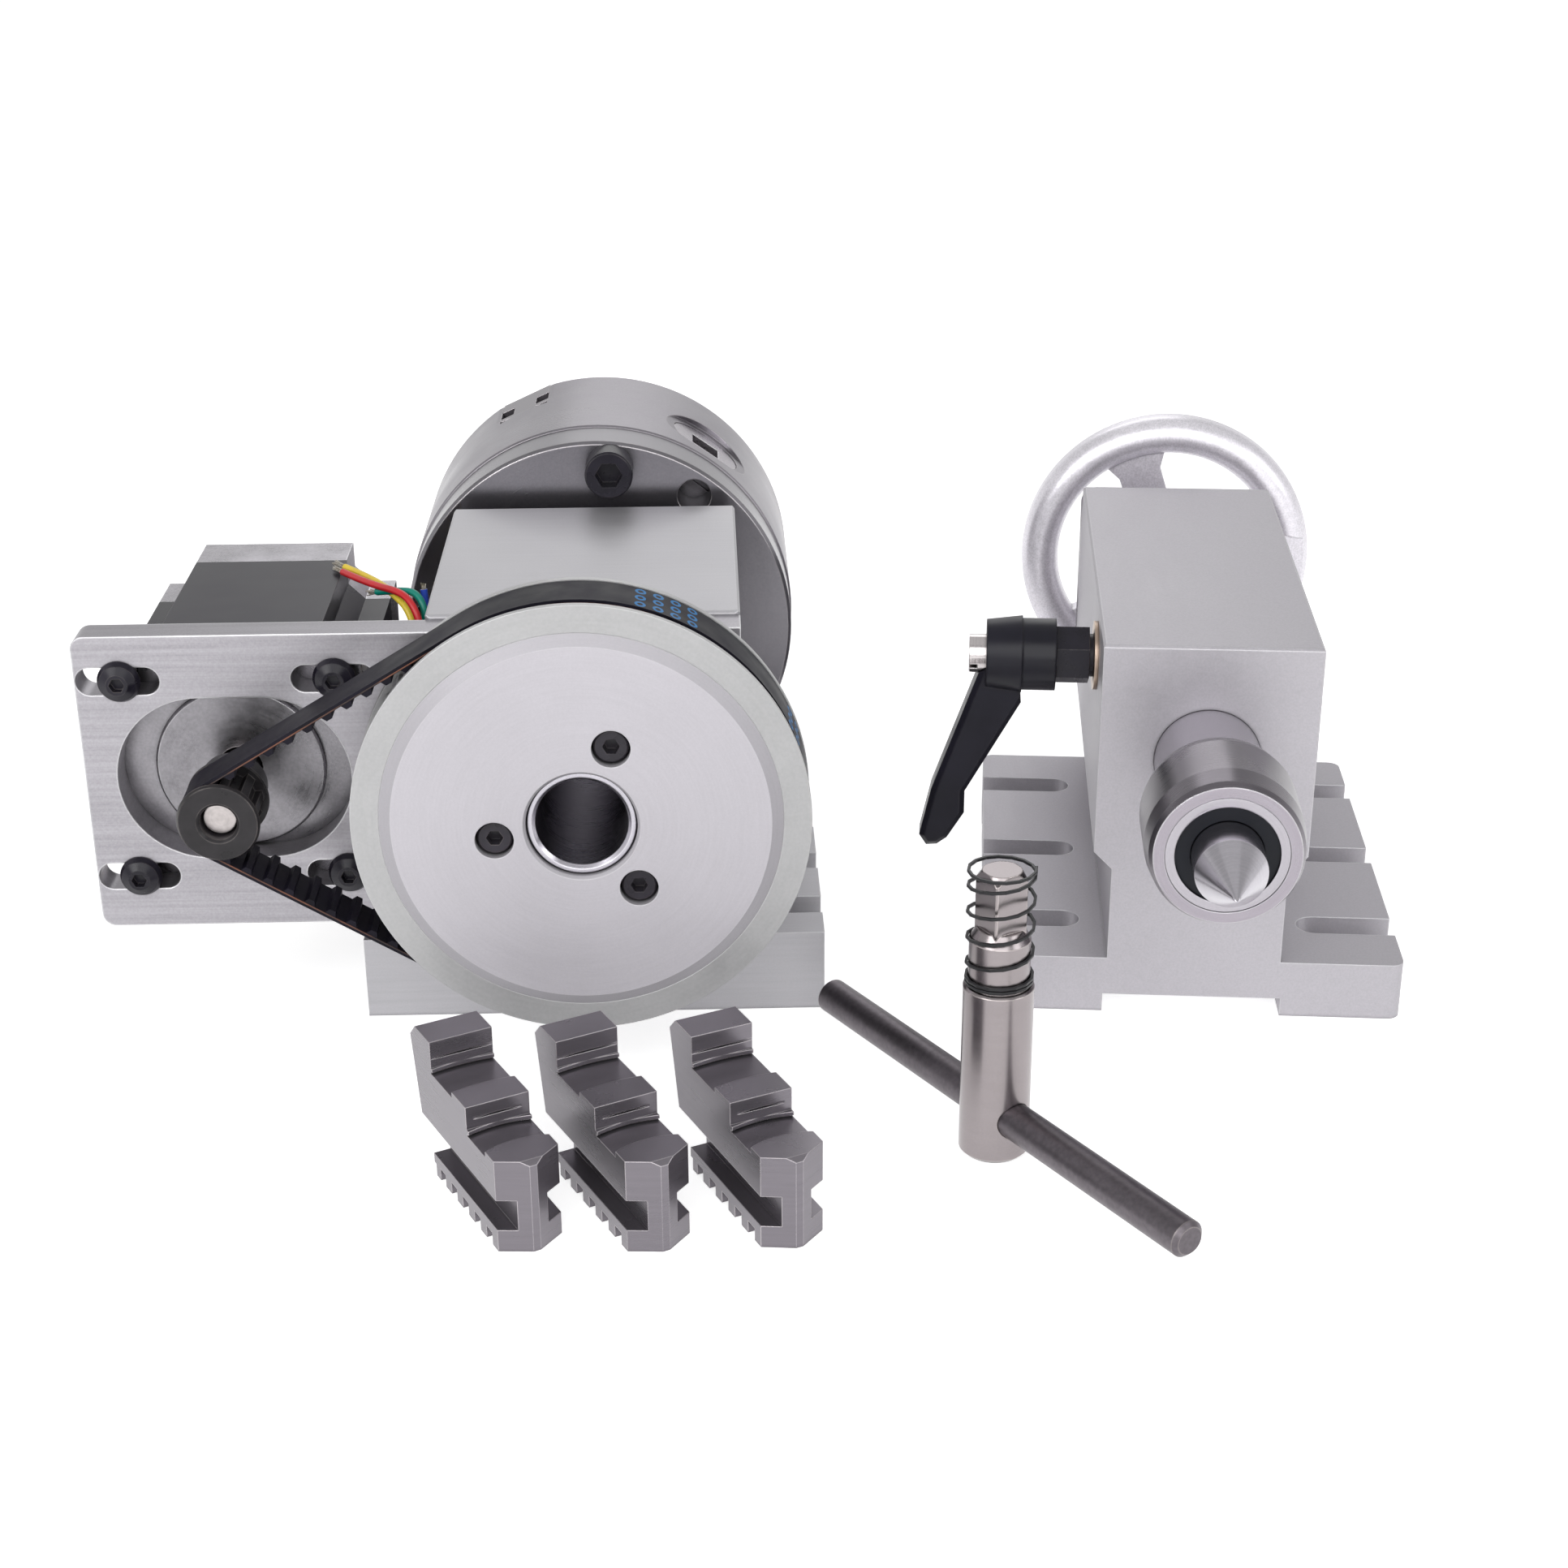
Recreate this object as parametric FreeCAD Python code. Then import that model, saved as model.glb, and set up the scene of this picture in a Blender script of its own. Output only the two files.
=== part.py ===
import FreeCAD, Part
import math
import os
from FreeCAD import Matrix, Placement, Rotation, Vector

# A belt-driven rotary axis for a milling table, with its tailstock, chuck key and spare jaws.
# Millimetres. X is across the spindle, +Y runs along the spindle towards the chuck, +Z is up.
# The origin is the middle of the headstock's underside, straight below the spindle.

# Headstock block and its slotted foot
centre_height = 65.0
head_width = 70.0
head_length = 80.0
head_height = 100.0
head_foot_width = 108.0
head_foot_thickness = 20.0
slot_width = 9.0
head_slot_pitch = 25.0
head_slot_depth = 17.5
front_face = -head_length / 2
rear_face = head_length / 2

# Spindle and its two bearings, 25 x 47 x 12
spindle_bore_radius = 10.0
spindle_radius = 12.5
spindle_nose_radius = 12.0
bearing_outer_radius = 23.5
bearing_width = 12.0
ball_circle_radius = 18.0
ball_radius = 3.4
ball_count = 11
flange_radius = 27.0
flange_gap = 1.0
flange_thickness = 7.0

# Toothed belt drive, 5.08 mm pitch, 60 and 10 teeth
belt_pitch = 5.08
belt_teeth = 70
belt_width = 12.0
belt_middle = -66.0
large_teeth = 60
small_teeth = 10
pitch_line_depth = 0.254
belt_back = 0.78
belt_tooth_height = 1.2
belt_tooth_root_half = 1.285
belt_tooth_tip_half = 0.69
groove_depth = 1.42
groove_top_half = 1.42
groove_floor_half = 0.82
belt_running_gap = 0.05
large_flange_radius = 49.5
small_flange_radius = 9.0

# Motor plate and motor, 57 mm frame
plate_left = -111.6
plate_bottom = 29.0
plate_height = 70.0
plate_thickness = 8.0
plate_slot_width = 6.4
plate_slot_length = 18.4
plate_slot_shift = -0.35
window_width = 52.0
window_height = 38.6
motor_size = 56.4
motor_length = 76.0
motor_screw_pitch = 47.14
motor_shaft_radius = 4.0
pilot_radius = 19.05

# Chuck, 100 mm, three jaws moved by a flat scroll
chuck_radius = 50.0
back_plate_radius = 49.5
back_plate_rear = rear_face + flange_gap + flange_thickness
back_plate_thickness = 13.6
chuck_length = 50.7
chuck_bore_radius = 11.0
cavity_radius = 43.0
hub_radius = 15.0
jaw_angles = (114.5, 234.5, 354.5)
pinion_angles = (54.5, 174.5, 294.5)
scroll_pitch = 5.0
ridge_width = 2.2
jaw_tooth_width = 1.6
scroll_teeth = 48
pinion_teeth = 10
socket_size = 8.1

# Jaws: a T shaped foot with teeth below, and a stepped body above
jaw_half_width = 7.0
jaw_web_half = 3.3
jaw_tooth_height = 2.8
jaw_wing_top = 5.0
jaw_groove_top = 11.9
jaw_length = 38.0
jaw_top = 32.0
slide_gap = 0.1

# Tailstock
tail_corner = Vector(140.3, -46.4, 0)
tail_turn = -5.9
tail_width = 49.0
tail_length = 123.0
tail_height = 92.0
tail_foot_width = 98.0
tail_foot_thickness = 14.0
tail_neck_width = 40.4
tail_slot_pitch = 41.0
tail_slot_depth = 23.0
quill_radius = 12.0
barrel_radius = 17.0
point_radius = 7.6
wheel_radius = 34.5
rim_half_width = 5.0
rim_half_depth = 6.2
wheel_plane = 150.0
clamp_y = 24.0
clamp_z = 80.7

# Chuck key and the spare jaws lying in front of the headstock
key_place = Vector(87.2, -105.0, 0)
bar_turn = -58.4
bar_length = 124.0
bar_radius = 4.0
spare_places = ((-16.1, -142.0, 27.0), (9.9, -143.0, 26.7), (36.7, -142.5, 24.5))

# Motor leads
lead_radius = 0.85
lead_spacing = 2.4
tip_radius = 0.5
tip_length = 4.6

x_axis = Vector(1, 0, 0)
y_axis = Vector(0, 1, 0)
z_axis = Vector(0, 0, 1)
spindle_line = Vector(0, 0, centre_height)
overrun = 1.0


# Basic shapes

def box(x0, x1, y0, y1, z0, z1):
    return Part.makeBox(x1 - x0, y1 - y0, z1 - z0, Vector(x0, y0, z0))


def rod(radius, start, end):
    span = end - start
    return Part.makeCylinder(radius, span.Length, start, span)


def rod_y(x, z, radius, y0, y1):
    return rod(radius, Vector(x, y0, z), Vector(x, y1, z))


def ring_y(x, z, outer, inner, y0, y1):
    return rod_y(x, z, outer, y0, y1).cut(rod_y(x, z, inner, y0 - overrun, y1 + overrun))


def flat(points):
    return Part.Face(Part.makePolygon(points + points[:1]))


def turned(profile, line=spindle_line):
    """A solid turned about a line along Y; the profile lists radius and Y."""
    points = [Vector(line.x + r, y, line.z) for r, y in profile]
    return flat(points).revolve(line, y_axis, 360)


def turned_z(profile):
    points = [Vector(r, 0, z) for r, z in profile]
    return flat(points).revolve(Vector(), z_axis, 360)


def aimed(shape, place, direction):
    """Moves a shape made along +Z so that it starts at a place and runs in a direction."""
    shape.Placement = Placement(place, Rotation(z_axis, direction))
    return shape


def spun(shape, angle, line=spindle_line, axis=y_axis):
    copy = shape.copy()
    copy.rotate(line, axis, angle)
    return copy


def polar(radius, angle, y, line=spindle_line):
    """A point at an angle from +X towards +Z, about a line along Y."""
    turn = math.radians(angle)
    return Vector(line.x + radius * math.cos(turn), y, line.z + radius * math.sin(turn))


def hexagon(across_flats, height):
    corner = across_flats / math.sqrt(3)
    points = [Vector(corner * math.cos(math.radians(a)), corner * math.sin(math.radians(a)), 0)
              for a in range(0, 360, 60)]
    return flat(points).extrude(Vector(0, 0, height))


def cap_screw(head_radius, head_height, radius, length, key):
    """Head below z = 0, shank above it, with a hexagon socket in the head."""
    screw = turned_z([(0, -head_height), (head_radius - 0.4, -head_height), (head_radius, 0.4 - head_height),
                      (head_radius, 0), (radius, 0), (radius, length), (0, length)])
    socket = hexagon(key, head_height * 0.6)
    socket.translate(Vector(0, 0, -head_height))
    return screw.cut(socket)


def button_screw(head_radius, head_height, radius, length, key):
    screw = turned_z([(0, -head_height), (head_radius * 0.5, -head_height), (head_radius * 0.86, -head_height * 0.6),
                      (head_radius, -head_height * 0.1), (head_radius, 0), (radius, 0), (radius, length), (0, length)])
    socket = hexagon(key, head_height * 0.7)
    socket.translate(Vector(0, 0, -head_height))
    return screw.cut(socket)


def fused(first, *others):
    return first.fuse(list(others)).removeSplitter()


def open_slots(edge_x, depth, centres, y_base, thickness):
    """U-slots that are open at the foot's outer edge, one for each place along Y."""
    side = math.copysign(1, edge_x)
    inner = edge_x - side * (depth - slot_width / 2)
    cutters = []
    for y in centres:
        x0, x1 = sorted((inner, edge_x + side * overrun))
        cutters.append(box(x0, x1, y_base + y - slot_width / 2, y_base + y + slot_width / 2, -overrun,
                           thickness + overrun))
        cutters.append(rod(slot_width / 2, Vector(inner, y_base + y, -overrun),
                           Vector(inner, y_base + y, thickness + overrun)))
    return cutters


# Belt layout: centre distance from the belt's length, then the path of its pitch line

large_pitch_radius = large_teeth * belt_pitch / (2 * math.pi)
small_pitch_radius = small_teeth * belt_pitch / (2 * math.pi)
belt_length = belt_teeth * belt_pitch


def centre_distance():
    """Halves an interval until an open belt of the stated length fits the two pulleys."""
    low, high = large_pitch_radius, 3 * large_pitch_radius
    while high - low > 1e-9:
        middle = (low + high) / 2
        lean = math.asin((large_pitch_radius - small_pitch_radius) / middle)
        around = (math.pi * (large_pitch_radius + small_pitch_radius)
                  + 2 * lean * (large_pitch_radius - small_pitch_radius))
        if 2 * middle * math.cos(lean) + around < belt_length:
            low = middle
        else:
            high = middle
    return middle


belt_span = centre_distance()
belt_lean = math.asin((large_pitch_radius - small_pitch_radius) / belt_span)
belt_straight = belt_span * math.cos(belt_lean)
motor_x = -belt_span
motor_line = Vector(motor_x, 0, centre_height)


def belt_point(distance, inward):
    """A point beside the pitch line, at a distance along the belt from the large pulley's upper side."""
    distance %= belt_length
    upper = math.pi / 2 + belt_lean
    small_arc = small_pitch_radius * (math.pi - 2 * belt_lean)
    if distance < belt_straight:
        angle = upper
        centre, radius, along = spindle_line, large_pitch_radius, distance
    elif distance < belt_straight + small_arc:
        angle = upper + (distance - belt_straight) / small_pitch_radius
        centre, radius, along = motor_line, small_pitch_radius, 0
    elif distance < 2 * belt_straight + small_arc:
        angle = -upper
        centre, radius, along = motor_line, small_pitch_radius, distance - belt_straight - small_arc
    else:
        angle = upper - (belt_length - distance) / large_pitch_radius
        centre, radius, along = spindle_line, large_pitch_radius, 0
    outward = Vector(math.cos(angle), 0, math.sin(angle))
    forward = Vector(-math.sin(angle), 0, math.cos(angle))
    return centre + outward * (radius - inward) + forward * along, outward, forward


def belt_piece():
    """Closed band: smooth back, trapezoid teeth inside."""
    inner = []
    land = pitch_line_depth - belt_running_gap
    for tooth in range(belt_teeth):
        foot, outward, forward = belt_point((tooth + 0.5) * belt_pitch, land)
        tip = foot - outward * belt_tooth_height
        inner += [foot - forward * belt_tooth_root_half, tip - forward * belt_tooth_tip_half,
                  tip + forward * belt_tooth_tip_half, foot + forward * belt_tooth_root_half]
    upper = 90 + math.degrees(belt_lean)
    big = large_pitch_radius + belt_back
    small = small_pitch_radius + belt_back
    a, b = polar(big, upper, 0), polar(small, upper, 0, motor_line)
    c, d = polar(small, -upper, 0, motor_line), polar(big, -upper, 0)
    back = Part.Wire([Part.LineSegment(a, b).toShape(),
                      Part.Arc(b, polar(small, 180, 0, motor_line), c).toShape(),
                      Part.LineSegment(c, d).toShape(),
                      Part.Arc(d, polar(big, 0, 0), a).toShape()])
    band = Part.Face(back).extrude(Vector(0, belt_width, 0))
    hollow = flat(inner).extrude(Vector(0, belt_width + 2 * overrun, 0))
    band.translate(Vector(0, belt_middle - belt_width / 2, 0))
    hollow.translate(Vector(0, belt_middle - belt_width / 2 - overrun, 0))
    return band.cut(hollow)


def toothed_disc(line, teeth, pitch_radius, first_groove, y0, y1):
    """A pulley's toothed rim, with belt grooves that start at an angle in degrees."""
    radius = pitch_radius - pitch_line_depth
    points = []
    for groove in range(teeth):
        turn = math.radians(first_groove + groove * 360 / teeth)
        outward = Vector(math.cos(turn), 0, math.sin(turn))
        forward = Vector(-math.sin(turn), 0, math.cos(turn))
        lip = line + outward * math.sqrt(radius ** 2 - groove_top_half ** 2)
        floor = line + outward * (radius - groove_depth)
        points += [lip - forward * groove_top_half, floor - forward * groove_floor_half,
                   floor + forward * groove_floor_half, lip + forward * groove_top_half]
    disc = flat(points).extrude(Vector(0, y1 - y0, 0))
    disc.translate(Vector(0, y0, 0))
    return disc


# Headstock, bearings and spindle

def headstock():
    body = fused(box(-head_foot_width / 2, head_foot_width / 2, front_face, rear_face, 0, head_foot_thickness),
                 box(-head_width / 2, head_width / 2, front_face, rear_face, 0, head_height))
    edges = [e for e in body.Edges if e.BoundBox.ZLength < 0.01 and e.BoundBox.ZMin > head_height - 0.1]
    body = body.makeChamfer(0.6, edges)
    uprights = [e for e in body.Edges if e.BoundBox.ZLength > head_height - head_foot_thickness - 2]
    body = body.makeFillet(1.5, uprights)
    seat = bearing_outer_radius + 0.02
    cutters = [rod_y(0, centre_height, 20.0, front_face - overrun, rear_face + overrun),
               rod_y(0, centre_height, seat, front_face - overrun, front_face + bearing_width),
               rod_y(0, centre_height, seat, rear_face - bearing_width, rear_face + overrun)]
    centres = [-head_slot_pitch, 0, head_slot_pitch]
    for side in (-1, 1):
        cutters += open_slots(side * head_foot_width / 2, head_slot_depth, centres, 0, head_foot_thickness)
    for x, z in plate_screw_places():
        cutters.append(rod_y(x, z, 2.55, front_face - overrun, front_face + 14))
    return body.cut(cutters)


def plate_screw_places():
    return [(x, centre_height + z) for x in (-28, 28) for z in (-27, 27)]


def bearing_centres():
    return front_face + bearing_width / 2, rear_face - bearing_width / 2


def bearing_rings(outer):
    rings = []
    half = bearing_width / 2
    for middle in bearing_centres():
        if outer:
            rim, land, floor = bearing_outer_radius, ball_circle_radius + 2.5, ball_circle_radius + 3.5
        else:
            rim, land, floor = spindle_radius, ball_circle_radius - 2.5, ball_circle_radius - 3.5
        rings.append(turned([(rim, middle - half), (rim, middle + half), (land, middle + half),
                             (land, middle + 2.7), (floor, middle + 1.4), (floor, middle - 1.4),
                             (land, middle - 2.7), (land, middle - half)]))
    return rings


def bearing_balls():
    balls = []
    for middle in bearing_centres():
        for ball in range(ball_count):
            balls.append(Part.makeSphere(ball_radius, polar(ball_circle_radius, ball * 360 / ball_count, middle)))
    return balls


spindle_end = -76.0
hub_front = -58.0
hub_rear = -50.0
flange_front = rear_face + flange_gap


def spindle_piece():
    """Hollow spindle: pulley seat in front, flange and register behind."""
    register = 17.5
    shoulder = 15.5
    shape = turned([(spindle_bore_radius, spindle_end + 0.8), (spindle_bore_radius + 0.8, spindle_end),
                    (spindle_nose_radius - 0.4, spindle_end), (spindle_nose_radius, spindle_end + 0.4),
                    (spindle_nose_radius, hub_front), (spindle_radius, hub_front), (spindle_radius, rear_face),
                    (shoulder, rear_face), (shoulder, flange_front), (flange_radius, flange_front),
                    (flange_radius, back_plate_rear), (register, back_plate_rear),
                    (register, back_plate_rear + 3), (spindle_bore_radius, back_plate_rear + 3)])
    holes = [rod_y(p.x, p.z, 2.55, back_plate_rear - 6.2, back_plate_rear + overrun)
             for p in spindle_screw_points(0)]
    return shape.cut(holes)


def spindle_screw_points(y):
    return [polar(21.0, 40 + 90 * k, y) for k in range(4)]


def pulley_hub():
    """Flanged nut that clamps the front bearing and carries the pulley."""
    sleeve = bearing_outer_radius - 8
    hub = turned([(spindle_radius + 0.02, hub_front), (24, hub_front), (24, hub_rear), (sleeve, hub_rear),
                  (sleeve, front_face), (spindle_radius + 0.02, front_face)])
    return hub.cut([rod_y(p.x, p.z, 2.55, hub_front - overrun, hub_rear + overrun) for p in pulley_screw_points(0)])


# Drive pulleys

tooth_face_front = -74.7
tooth_face_rear = -59.5
large_flange_thickness = 1.5
boss_front = -77.6
flange_seat_radius = 43.4
boss_radius = 40.8
cap_head_radius = 4.25
cap_head_height = 5.0
pulley_head_radius = 3.8
pulley_head_depth = 1.4


def pulley_screw_points(y):
    return [polar(19.0, 69 + 120 * k, y) for k in range(3)]


def drive_pulley():
    """Toothed rim between two flange seats, with a raised face that stands proud of the front flange."""
    first = 90 + math.degrees(belt_lean) - 180 / large_teeth
    rim = toothed_disc(spindle_line, large_teeth, large_pitch_radius, first, tooth_face_front, tooth_face_rear)
    flange_front_y = tooth_face_front - large_flange_thickness
    core = turned([(0, boss_front), (boss_radius, boss_front), (flange_seat_radius, flange_front_y),
                   (flange_seat_radius, hub_front), (0, hub_front)])
    bore = turned([(0, boss_front - overrun), (spindle_nose_radius + 0.6, boss_front - overrun),
                   (spindle_nose_radius + 0.6, boss_front), (spindle_nose_radius + 0.02, boss_front + 0.6),
                   (spindle_nose_radius + 0.02, hub_front + overrun), (0, hub_front + overrun)])
    cutters = [bore]
    for p in pulley_screw_points(0):
        cutters.append(rod_y(p.x, p.z, 2.7, boss_front - overrun, hub_front + overrun))
        cutters.append(rod_y(p.x, p.z, pulley_head_radius + 0.4, boss_front - overrun,
                             boss_front + cap_head_height + pulley_head_depth))
    return rim.fuse(core).cut(cutters)


def pulley_flanges():
    inner = flange_seat_radius
    return [ring_y(0, centre_height, large_flange_radius, inner, tooth_face_front - large_flange_thickness,
                   tooth_face_front),
            ring_y(0, centre_height, large_flange_radius, inner, tooth_face_rear, hub_front)]


def pulley_screws():
    seat = boss_front + cap_head_height + pulley_head_depth
    return [aimed(cap_screw(pulley_head_radius, cap_head_height, 2.5, 19, 3.2), p, y_axis)
            for p in pulley_screw_points(seat)]


def motor_pulley():
    """Small flanged pulley with a hub towards the motor."""
    front, rear = -73.0, -51.0
    face_front, face_rear = -72.15, -59.85
    first = 90 + math.degrees(belt_lean) + math.degrees((0.5 * belt_pitch - belt_straight) / small_pitch_radius)
    rim = toothed_disc(motor_line, small_teeth, small_pitch_radius, first, face_front, face_rear)
    front_flange = turned([(0, front), (small_flange_radius - 0.5, front), (small_flange_radius, face_front),
                           (0, face_front)], motor_line)
    rear_flange = rod_y(motor_x, centre_height, small_flange_radius, face_rear, face_rear + 0.85)
    hub = rod_y(motor_x, centre_height, 7.5, face_rear, rear)
    bore = fused(rod_y(motor_x, centre_height, motor_shaft_radius + 0.02, front - overrun, rear + overrun),
                 turned([(0, front), (4.65, front), (motor_shaft_radius, front + 0.65), (0, front + 0.65)], motor_line))
    grub_y = -55.0
    tapped = rod(2.0, Vector(motor_x, grub_y, centre_height), Vector(motor_x, grub_y, centre_height + 9))
    grub = rod(1.95, Vector(motor_x, grub_y, centre_height + motor_shaft_radius + 0.05),
               Vector(motor_x, grub_y, centre_height + 6.8))
    grub = grub.cut(aimed(hexagon(2, 2), Vector(motor_x, grub_y, centre_height + 5), z_axis))
    return [rim.fuse([front_flange, rear_flange, hub]).cut([bore, tapped]), grub]


# Motor plate and motor

def obround_y(x, z, width, height, y0, y1):
    """A slot with round ends, long along X, through the thickness from y0 to y1."""
    radius = height / 2
    half = width / 2 - radius
    return fused(box(x - half, x + half, y0, y1, z - radius, z + radius),
                 rod_y(x - half, z, radius, y0, y1), rod_y(x + half, z, radius, y0, y1))


def motor_screw_places():
    half = motor_screw_pitch / 2
    return [(motor_x + sx * half, centre_height + sz * half) for sx in (-1, 1) for sz in (-1, 1)]


plate_front = front_face - plate_thickness


def motor_plate():
    plate = box(plate_left, head_width / 2, plate_front, front_face, plate_bottom, plate_bottom + plate_height)
    corners = [e for e in plate.Edges if e.BoundBox.YLength > plate_thickness - 0.1
               and e.BoundBox.XMax < plate_left + 0.1]
    plate = plate.makeFillet(3, corners)
    cutters = [obround_y(motor_x - 0.3, centre_height, window_width, window_height, plate_front - overrun,
                         front_face + overrun),
               rod_y(0, centre_height, 20.5, plate_front - overrun, front_face + overrun)]
    for x, z in motor_screw_places():
        cutters.append(obround_y(x + plate_slot_shift, z, plate_slot_length, plate_slot_width,
                                 plate_front - overrun, front_face + overrun))
    for x, z in plate_screw_places():
        cutters.append(rod_y(x, z, 2.7, plate_front - overrun, front_face + overrun))
        cutters.append(rod_y(x, z, cap_head_radius + 0.4, plate_front - overrun, plate_front + cap_head_height + 0.2))
    return plate.cut(cutters)


def plate_screws():
    seat = plate_front + cap_head_height + 0.2
    return [aimed(cap_screw(cap_head_radius, cap_head_height, 2.5, 15, 4), Vector(x, seat, z), y_axis)
            for x, z in plate_screw_places()]


def motor_section(y0, y1, inset=0.0):
    """The stack's outline: a square with a notch across each corner for the fixing screws."""
    half = motor_size / 2 - inset
    flat_half, notch = 18.2, 22.2
    quarter = [(half, -flat_half), (half, flat_half), (notch, flat_half), (flat_half, notch)]
    points = []
    for turn in range(4):
        c, s = round(math.cos(turn * math.pi / 2)), round(math.sin(turn * math.pi / 2))
        points += [Vector(motor_x + c * a - s * b, y0, centre_height + s * a + c * b) for a, b in quarter]
    return flat(points).extrude(Vector(0, y1 - y0, 0))


motor_rear = front_face + motor_length
flange_depth = 5.0
bell_joint = front_face + 9
stack_end = motor_rear - 15
case_screw_half = 17.0


def motor_front_bell():
    half = motor_size / 2
    flange = box(motor_x - half, motor_x + half, front_face, front_face + flange_depth, centre_height - half,
                 centre_height + half)
    flange = flange.makeFillet(4, [e for e in flange.Edges if e.BoundBox.YLength > flange_depth - 0.1])
    pilot = turned([(0, front_face - 1.6), (pilot_radius - 0.5, front_face - 1.6), (pilot_radius, front_face - 1.1),
                    (pilot_radius, front_face + 1), (0, front_face + 1)], motor_line)
    bell = fused(flange, pilot, motor_section(front_face + flange_depth, bell_joint))
    cutters = [rod_y(motor_x, centre_height, 5.0, front_face - 3, bell_joint + overrun)]
    cutters += [rod_y(x, z, 2.6, front_face - overrun, front_face + flange_depth + overrun)
                for x, z in motor_screw_places()]
    return bell.cut(cutters)


def motor_stator():
    stack = motor_section(bell_joint, stack_end)
    cutters = [rod_y(motor_x, centre_height, 16.0, bell_joint - overrun, stack_end + overrun)]
    cutters += [rod_y(p[0], p[1], 1.6, stack_end - 4, stack_end + overrun) for p in case_screw_places()]
    return stack.cut(cutters)


def case_screw_places():
    return [(motor_x + sx * case_screw_half, centre_height + sz * case_screw_half)
            for sx in (-1, 1) for sz in (-1, 1)]


def motor_rear_bell():
    bell = motor_section(stack_end, motor_rear)
    rim = [e for e in bell.Edges if e.BoundBox.YMin > motor_rear - 0.1]
    bell = bell.makeChamfer(1.2, rim)
    cutters = [rod_y(motor_x, centre_height, motor_shaft_radius + 0.05, stack_end - overrun, motor_rear - 2)]
    cutters += [rod_y(x, z, 1.6, stack_end - overrun, motor_rear + overrun) for x, z in case_screw_places()]
    return bell.cut(cutters)


def case_screws():
    return [aimed(button_screw(3.0, 1.8, 1.5, 18, 2.0), Vector(x, motor_rear, z), Vector(0, -1, 0))
            for x, z in case_screw_places()]


def motor_rotor():
    shaft_front = -70.0
    return turned([(0, shaft_front), (motor_shaft_radius - 0.5, shaft_front), (motor_shaft_radius, shaft_front + 0.5),
                   (motor_shaft_radius, bell_joint + 3), (15.7, bell_joint + 3), (15.7, stack_end - 3),
                   (motor_shaft_radius, stack_end - 3), (motor_shaft_radius, motor_rear - 3),
                   (0, motor_rear - 3)], motor_line)


def motor_screws():
    return [aimed(button_screw(4.75, 2.75, 2.5, 18, 3.0), Vector(x, plate_front, z), y_axis)
            for x, z in motor_screw_places()]


def motor_nuts():
    nuts = []
    seat = front_face + flange_depth
    for x, z in motor_screw_places():
        lean = math.degrees(math.atan2(z - centre_height, x - motor_x))
        nut = spun(hexagon(8, 4), lean + 30, Vector(), z_axis)
        nut = nut.cut(rod(2.5, Vector(0, 0, -overrun), Vector(0, 0, 5)))
        nuts.append(nut.transformed(Placement(Vector(x, seat, z), Rotation(x_axis, -90)).Matrix, copy=True))
    return nuts


# Leads of the motor

grommet_place = Vector(motor_x - 6, motor_rear - 8, centre_height - motor_size / 2)
grommet_depth = 3.0

# The last points of each lead, from the gap beside the motor up to its bare end
lead_ends = {
    "lead_yellow": ((-43.2, -14.4, 55), (-41.4, -15.2, 70), (-40.5, -15.4, 81), (-40.2, -15.3, 88.6),
                    (-42.0, -13.1, 92.7), (-44.7, -9.9, 94.3), (-50.4, 0.6, 94.8), (-59.1, 11.8, 94.4)),
    "lead_red": ((-41.2, -16.4, 55), (-39.4, -18.6, 70), (-38.5, -19.6, 82), (-38.2, -19.8, 90.6),
                 (-40.0, -17.6, 94.9), (-43.0, -14.0, 96.8), (-51.2, -4.1, 95.3), (-59.2, 8.2, 94.4)),
    "lead_green": ((-39.7, -14.2, 56), (-38.4, -15.4, 72), (-37.6, -16.4, 84), (-37.3, -16.4, 93.2),
                   (-39.0, -14.3, 97.4), (-42.3, -11.9, 98.9), (-47.9, -5.9, 98.2)),
    "lead_blue": ((-38.3, -11.5, 54), (-37.9, -9.6, 69), (-37.6, -7.8, 83), (-38.6, -5.8, 94.5)),
}


def lead_route(name, lane):
    """A lead leaves the motor's underside, loops on the floor behind it and comes forward and up the gap."""
    out = (lane - 1.5) * lead_spacing
    low = lead_radius + 0.35
    start = grommet_place + Vector(-out, 0, -grommet_depth)
    gap_x = -41.8 + out * 0.9
    hidden = [start, start + Vector(0, 0, -11), start + Vector(0.5, 7, -22), Vector(-81 - out, 49 + out * 0.2, low + 3),
              Vector(-75 - out * 0.9, 63 + out * 0.5, low), Vector(-62, 70 + out, low),
              Vector(-48 + out * 0.8, 64 + out * 0.6, low), Vector(-42.5 + out, 53.5, low + 3.5), Vector(gap_x, 48, 15),
              Vector(gap_x, 44, 28), Vector(gap_x, 32, 29.5), Vector(gap_x, 18, 23), Vector(gap_x, 4, 22.4),
              Vector(gap_x, -8, 27.5), Vector(gap_x, -13, 39)]
    return hidden + [Vector(*p) for p in lead_ends[name]]


def lead_tip(route):
    """Bare strands, twisted together, straight on from the lead's end."""
    along = (route[-1] - route[-2]).normalize()
    return rod(tip_radius, route[-1], route[-1] + along * tip_length)


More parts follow.
